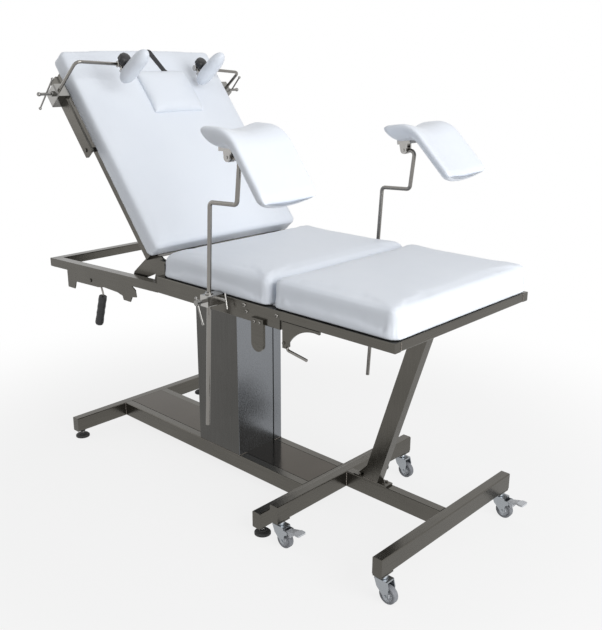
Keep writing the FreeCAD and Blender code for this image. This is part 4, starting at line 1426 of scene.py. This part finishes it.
@dataclass
class CasterWheel:
    """Wheel with a rounded tread, a dished hub and a bearing cap."""

    radius: float = 0.025
    half_width: float = 0.009
    hub_half: float = 0.0115
    hub_edge: float = 0.0170
    axles: tuple[tuple[str, float], ...] = (("rear", 0.336), ("front", 0.695))
    half_track: float = 0.28

    def profile(self) -> Array:
        """Half section from the bearing to the tread's middle, then mirrored."""
        r, w, h = self.radius, self.half_width, self.hub_half
        q = np.linspace(0, np.pi / 2, 7)
        tread = [r - 0.004, w - 0.004] + 0.004 * np.stack([np.sin(q), np.cos(q)], -1)
        half = np.vstack([[[0.0041, 0.002], [0.0041, h], [0.0075, h], [0.0085, h - 0.001],
                           [0.0092, 0.0045], [0.0115, 0.0034], [0.0150, 0.0034],
                           [0.0166, 0.0042], [0.0172, w - 0.0008], [0.0182, w]],
                          tread, [[r, 0.001]]])
        return np.vstack([half, (half * [1, -1])[::-1], half[:1]])

    def ring(self) -> Shell:
        """The closed section carried round the axle."""
        p = self.profile()[:-1]
        u = circle(72)
        grid = np.stack([p[None, :, 0] * np.cos(u), 0 * u + p[None, :, 1],
                         p[None, :, 0] * np.sin(u)], -1)
        return Shell.loft(grid, loop=True)

    def build(self, shop: Workshop) -> None:
        """Four wheels, each with a tread colour and a hub colour."""
        for end, x in self.axles:
            for side in Side:
                name = f"{side.word}_{end}"
                at = np.array([x, side.value * self.half_track, self.radius])
                piece = self.ring().shifted(at).build(f"wheel_tyre_{name}", 50)
                shop.seat(piece, f"wheel_{name}", TREAD, "grey_wheel")
                piece.data.materials.append(shop.coat(WHEEL))
                offset = (rows(piece.data.polygons, "center") - at)[:, [0, 2]]
                hub = np.linalg.norm(offset, axis=1) < self.hub_edge
                piece.data.polygons.foreach_set("material_index", hub.astype(np.int32))
                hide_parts(f"caster_wheel_{name}")


@dataclass
class Studio:
    """Pale floor, soft lamps and the photograph's camera."""

    eye: Colour = (1.7402, -1.7134, 1.3025)
    azimuth: float = 43.23
    pitch: float = 17.35
    roll: float = 0.17
    lens: float = 47.3
    floor: float = 30.0
    clear: Pair = (0.8, 1.9)
    glow: float = 0.82
    daylight: float = 0.42
    lamps: tuple[tuple[str, Colour, Colour, float, float], ...] = (
        ("key_box", (3.8, -0.5, 1.9), (0, 0, 0.8), 3.0, 133),
        ("top_box", (-0.3, 0.6, 3.6), (0, 0, 0.6), 2.6, 10),
        ("side_box", (-3.0, -1.6, 1.8), (0, 0, 0.7), 2.0, 7))

    def camera(self) -> None:
        """A camera where the photograph was taken from."""
        a, e = math.radians(self.azimuth), math.radians(self.pitch)
        way = Vector((-math.sin(a) * math.cos(e), math.cos(a) * math.cos(e), -math.sin(e)))
        data = bpy.data.cameras.new("studio_camera")
        data.lens = self.lens
        data.sensor_width = 36.0
        data.clip_end = 60.0
        cam = placed("studio_camera", data)
        cam.rotation_mode = "QUATERNION"
        turn = way.to_track_quat("-Z", "Y").to_matrix().to_4x4()
        turn = turn @ Matrix.Rotation(math.radians(self.roll), 4, "Z")
        cam.matrix_world = Matrix.Translation(self.eye) @ turn
        bpy.context.scene.camera = cam

    def ground(self) -> None:
        """A wide level floor that keeps the table's shadow.

        Its glow rises to plain white between the two clear distances.
        """
        g = np.linspace(-self.floor, self.floor, 3)
        x, y = np.meshgrid(g, g, indexing="ij")
        verts = np.stack([x, y, 0 * x - 0.0002], -1).reshape(-1, 3)
        quads = np.array([[0, 3, 4, 1], [1, 4, 5, 2], [3, 6, 7, 4], [4, 7, 8, 5]])
        floor = Shell(verts, quads).build("studio_floor")
        r = Recipe("studio_floor")
        cloud = r.noise(r.place(), 2.0, 2.0)
        r.set(Base_Color=r.mix(cloud, (0.55, 0.55, 0.55), (0.57, 0.57, 0.57)),
              Roughness=0.9, Specular_IOR_Level=0.1)
        path = r.tree.nodes.new("ShaderNodeLightPath")
        seen = Signal(r, path.outputs["Is Camera Ray"])
        glossy = Signal(r, path.outputs["Is Glossy Ray"])
        glow = r.node("ShaderNodeEmission", None,
                      {"Color": (1.0, 1.0, 1.0, 1.0), "Strength": 1.0})
        x, y, _ = r.axes()
        away = (x * x + y * y) ** 0.5
        near, far = self.clear
        share = r.node("ShaderNodeMapRange", {"interpolation_type": "SMOOTHSTEP"},
                       {0: away, 1: near, 2: far, 3: self.glow, 4: 1.0})
        both = r.node("ShaderNodeMixShader", None,
                      {0: (seen + glossy) * share,
                       1: Signal(r, r.shader.outputs[0]), 2: glow})
        out = next(n for n in r.tree.nodes if n.type == "OUTPUT_MATERIAL")
        r.tree.links.new(both.socket, out.inputs["Surface"])
        floor.data.materials.append(r.material)

    def sky(self) -> None:
        """A plain world: white where seen, dimmer as a light."""
        world = bpy.data.worlds.new("studio_world")
        bpy.context.scene.world = world
        world.use_nodes = True
        tree = world.node_tree
        path = tree.nodes.new("ShaderNodeLightPath")
        seen, level = (tree.nodes.new("ShaderNodeMath") for _ in range(2))
        back = next(n for n in tree.nodes if n.type == "BACKGROUND")
        seen.operation, level.operation = "MAXIMUM", "MULTIPLY_ADD"
        level.inputs[1].default_value = 1.0 - self.daylight
        level.inputs[2].default_value = self.daylight
        back.inputs["Color"].default_value = (1.0, 1.0, 1.0, 1.0)
        for source, target in ((path.outputs["Is Camera Ray"], seen.inputs[0]),
                               (path.outputs["Is Glossy Ray"], seen.inputs[1]),
                               (seen.outputs[0], level.inputs[0]),
                               (level.outputs[0], back.inputs["Strength"])):
            tree.links.new(source, target)

    def lamp(self, name: str, at: Colour, aim: Colour, size: float, watts: float) -> None:
        """One square soft box.

        Args:
            name: the lamp's name.
            at: where it hangs.
            aim: the point that it faces.
            size: its side in metres.
            watts: its power.
        """
        data = bpy.data.lights.new(name, "AREA")
        data.size = size
        data.energy = watts
        made = placed(name, data)
        made.location = at
        way = Vector(aim) - Vector(at)
        made.rotation_mode = "QUATERNION"
        made.rotation_quaternion = way.to_track_quat("-Z", "Y")

    def build(self) -> None:
        """Camera, floor, world and lamps."""
        self.camera()
        self.ground()
        self.sky()
        for lamp in self.lamps:
            self.lamp(*lamp)
        bpy.context.scene.view_settings.view_transform = "Standard"


def main() -> None:
    """Builds every sub-assembly in order and the studio round them."""
    logging.basicConfig(level=logging.INFO, format="%(message)s")
    shop = Workshop()
    SteelWork().build(shop)
    Fasteners().build(shop)
    CasterWheel().build(shop)
    Mattress().build(shop)
    HeadRest().build(shop)
    LegRest(Side.NEAR, eye=np.array([0.205, -0.340, 1.066]), tip=1.0, half=0.0925,
            thick=0.042).build(shop)
    LegRest(Side.FAR, eye=np.array([0.244, 0.335, 1.036]), tip=-8.0).build(shop)
    ShoulderRest(Side.NEAR, post=0.126, height=0.094, arm=0.150, turn=4.2,
                 lean=5.0).build(shop)
    ShoulderRest(Side.FAR, post=0.134, height=0.043, arm=0.176, turn=-6.3,
                 lean=1.5).build(shop)
    Studio().build()


if __name__ == "__main__":
    main()
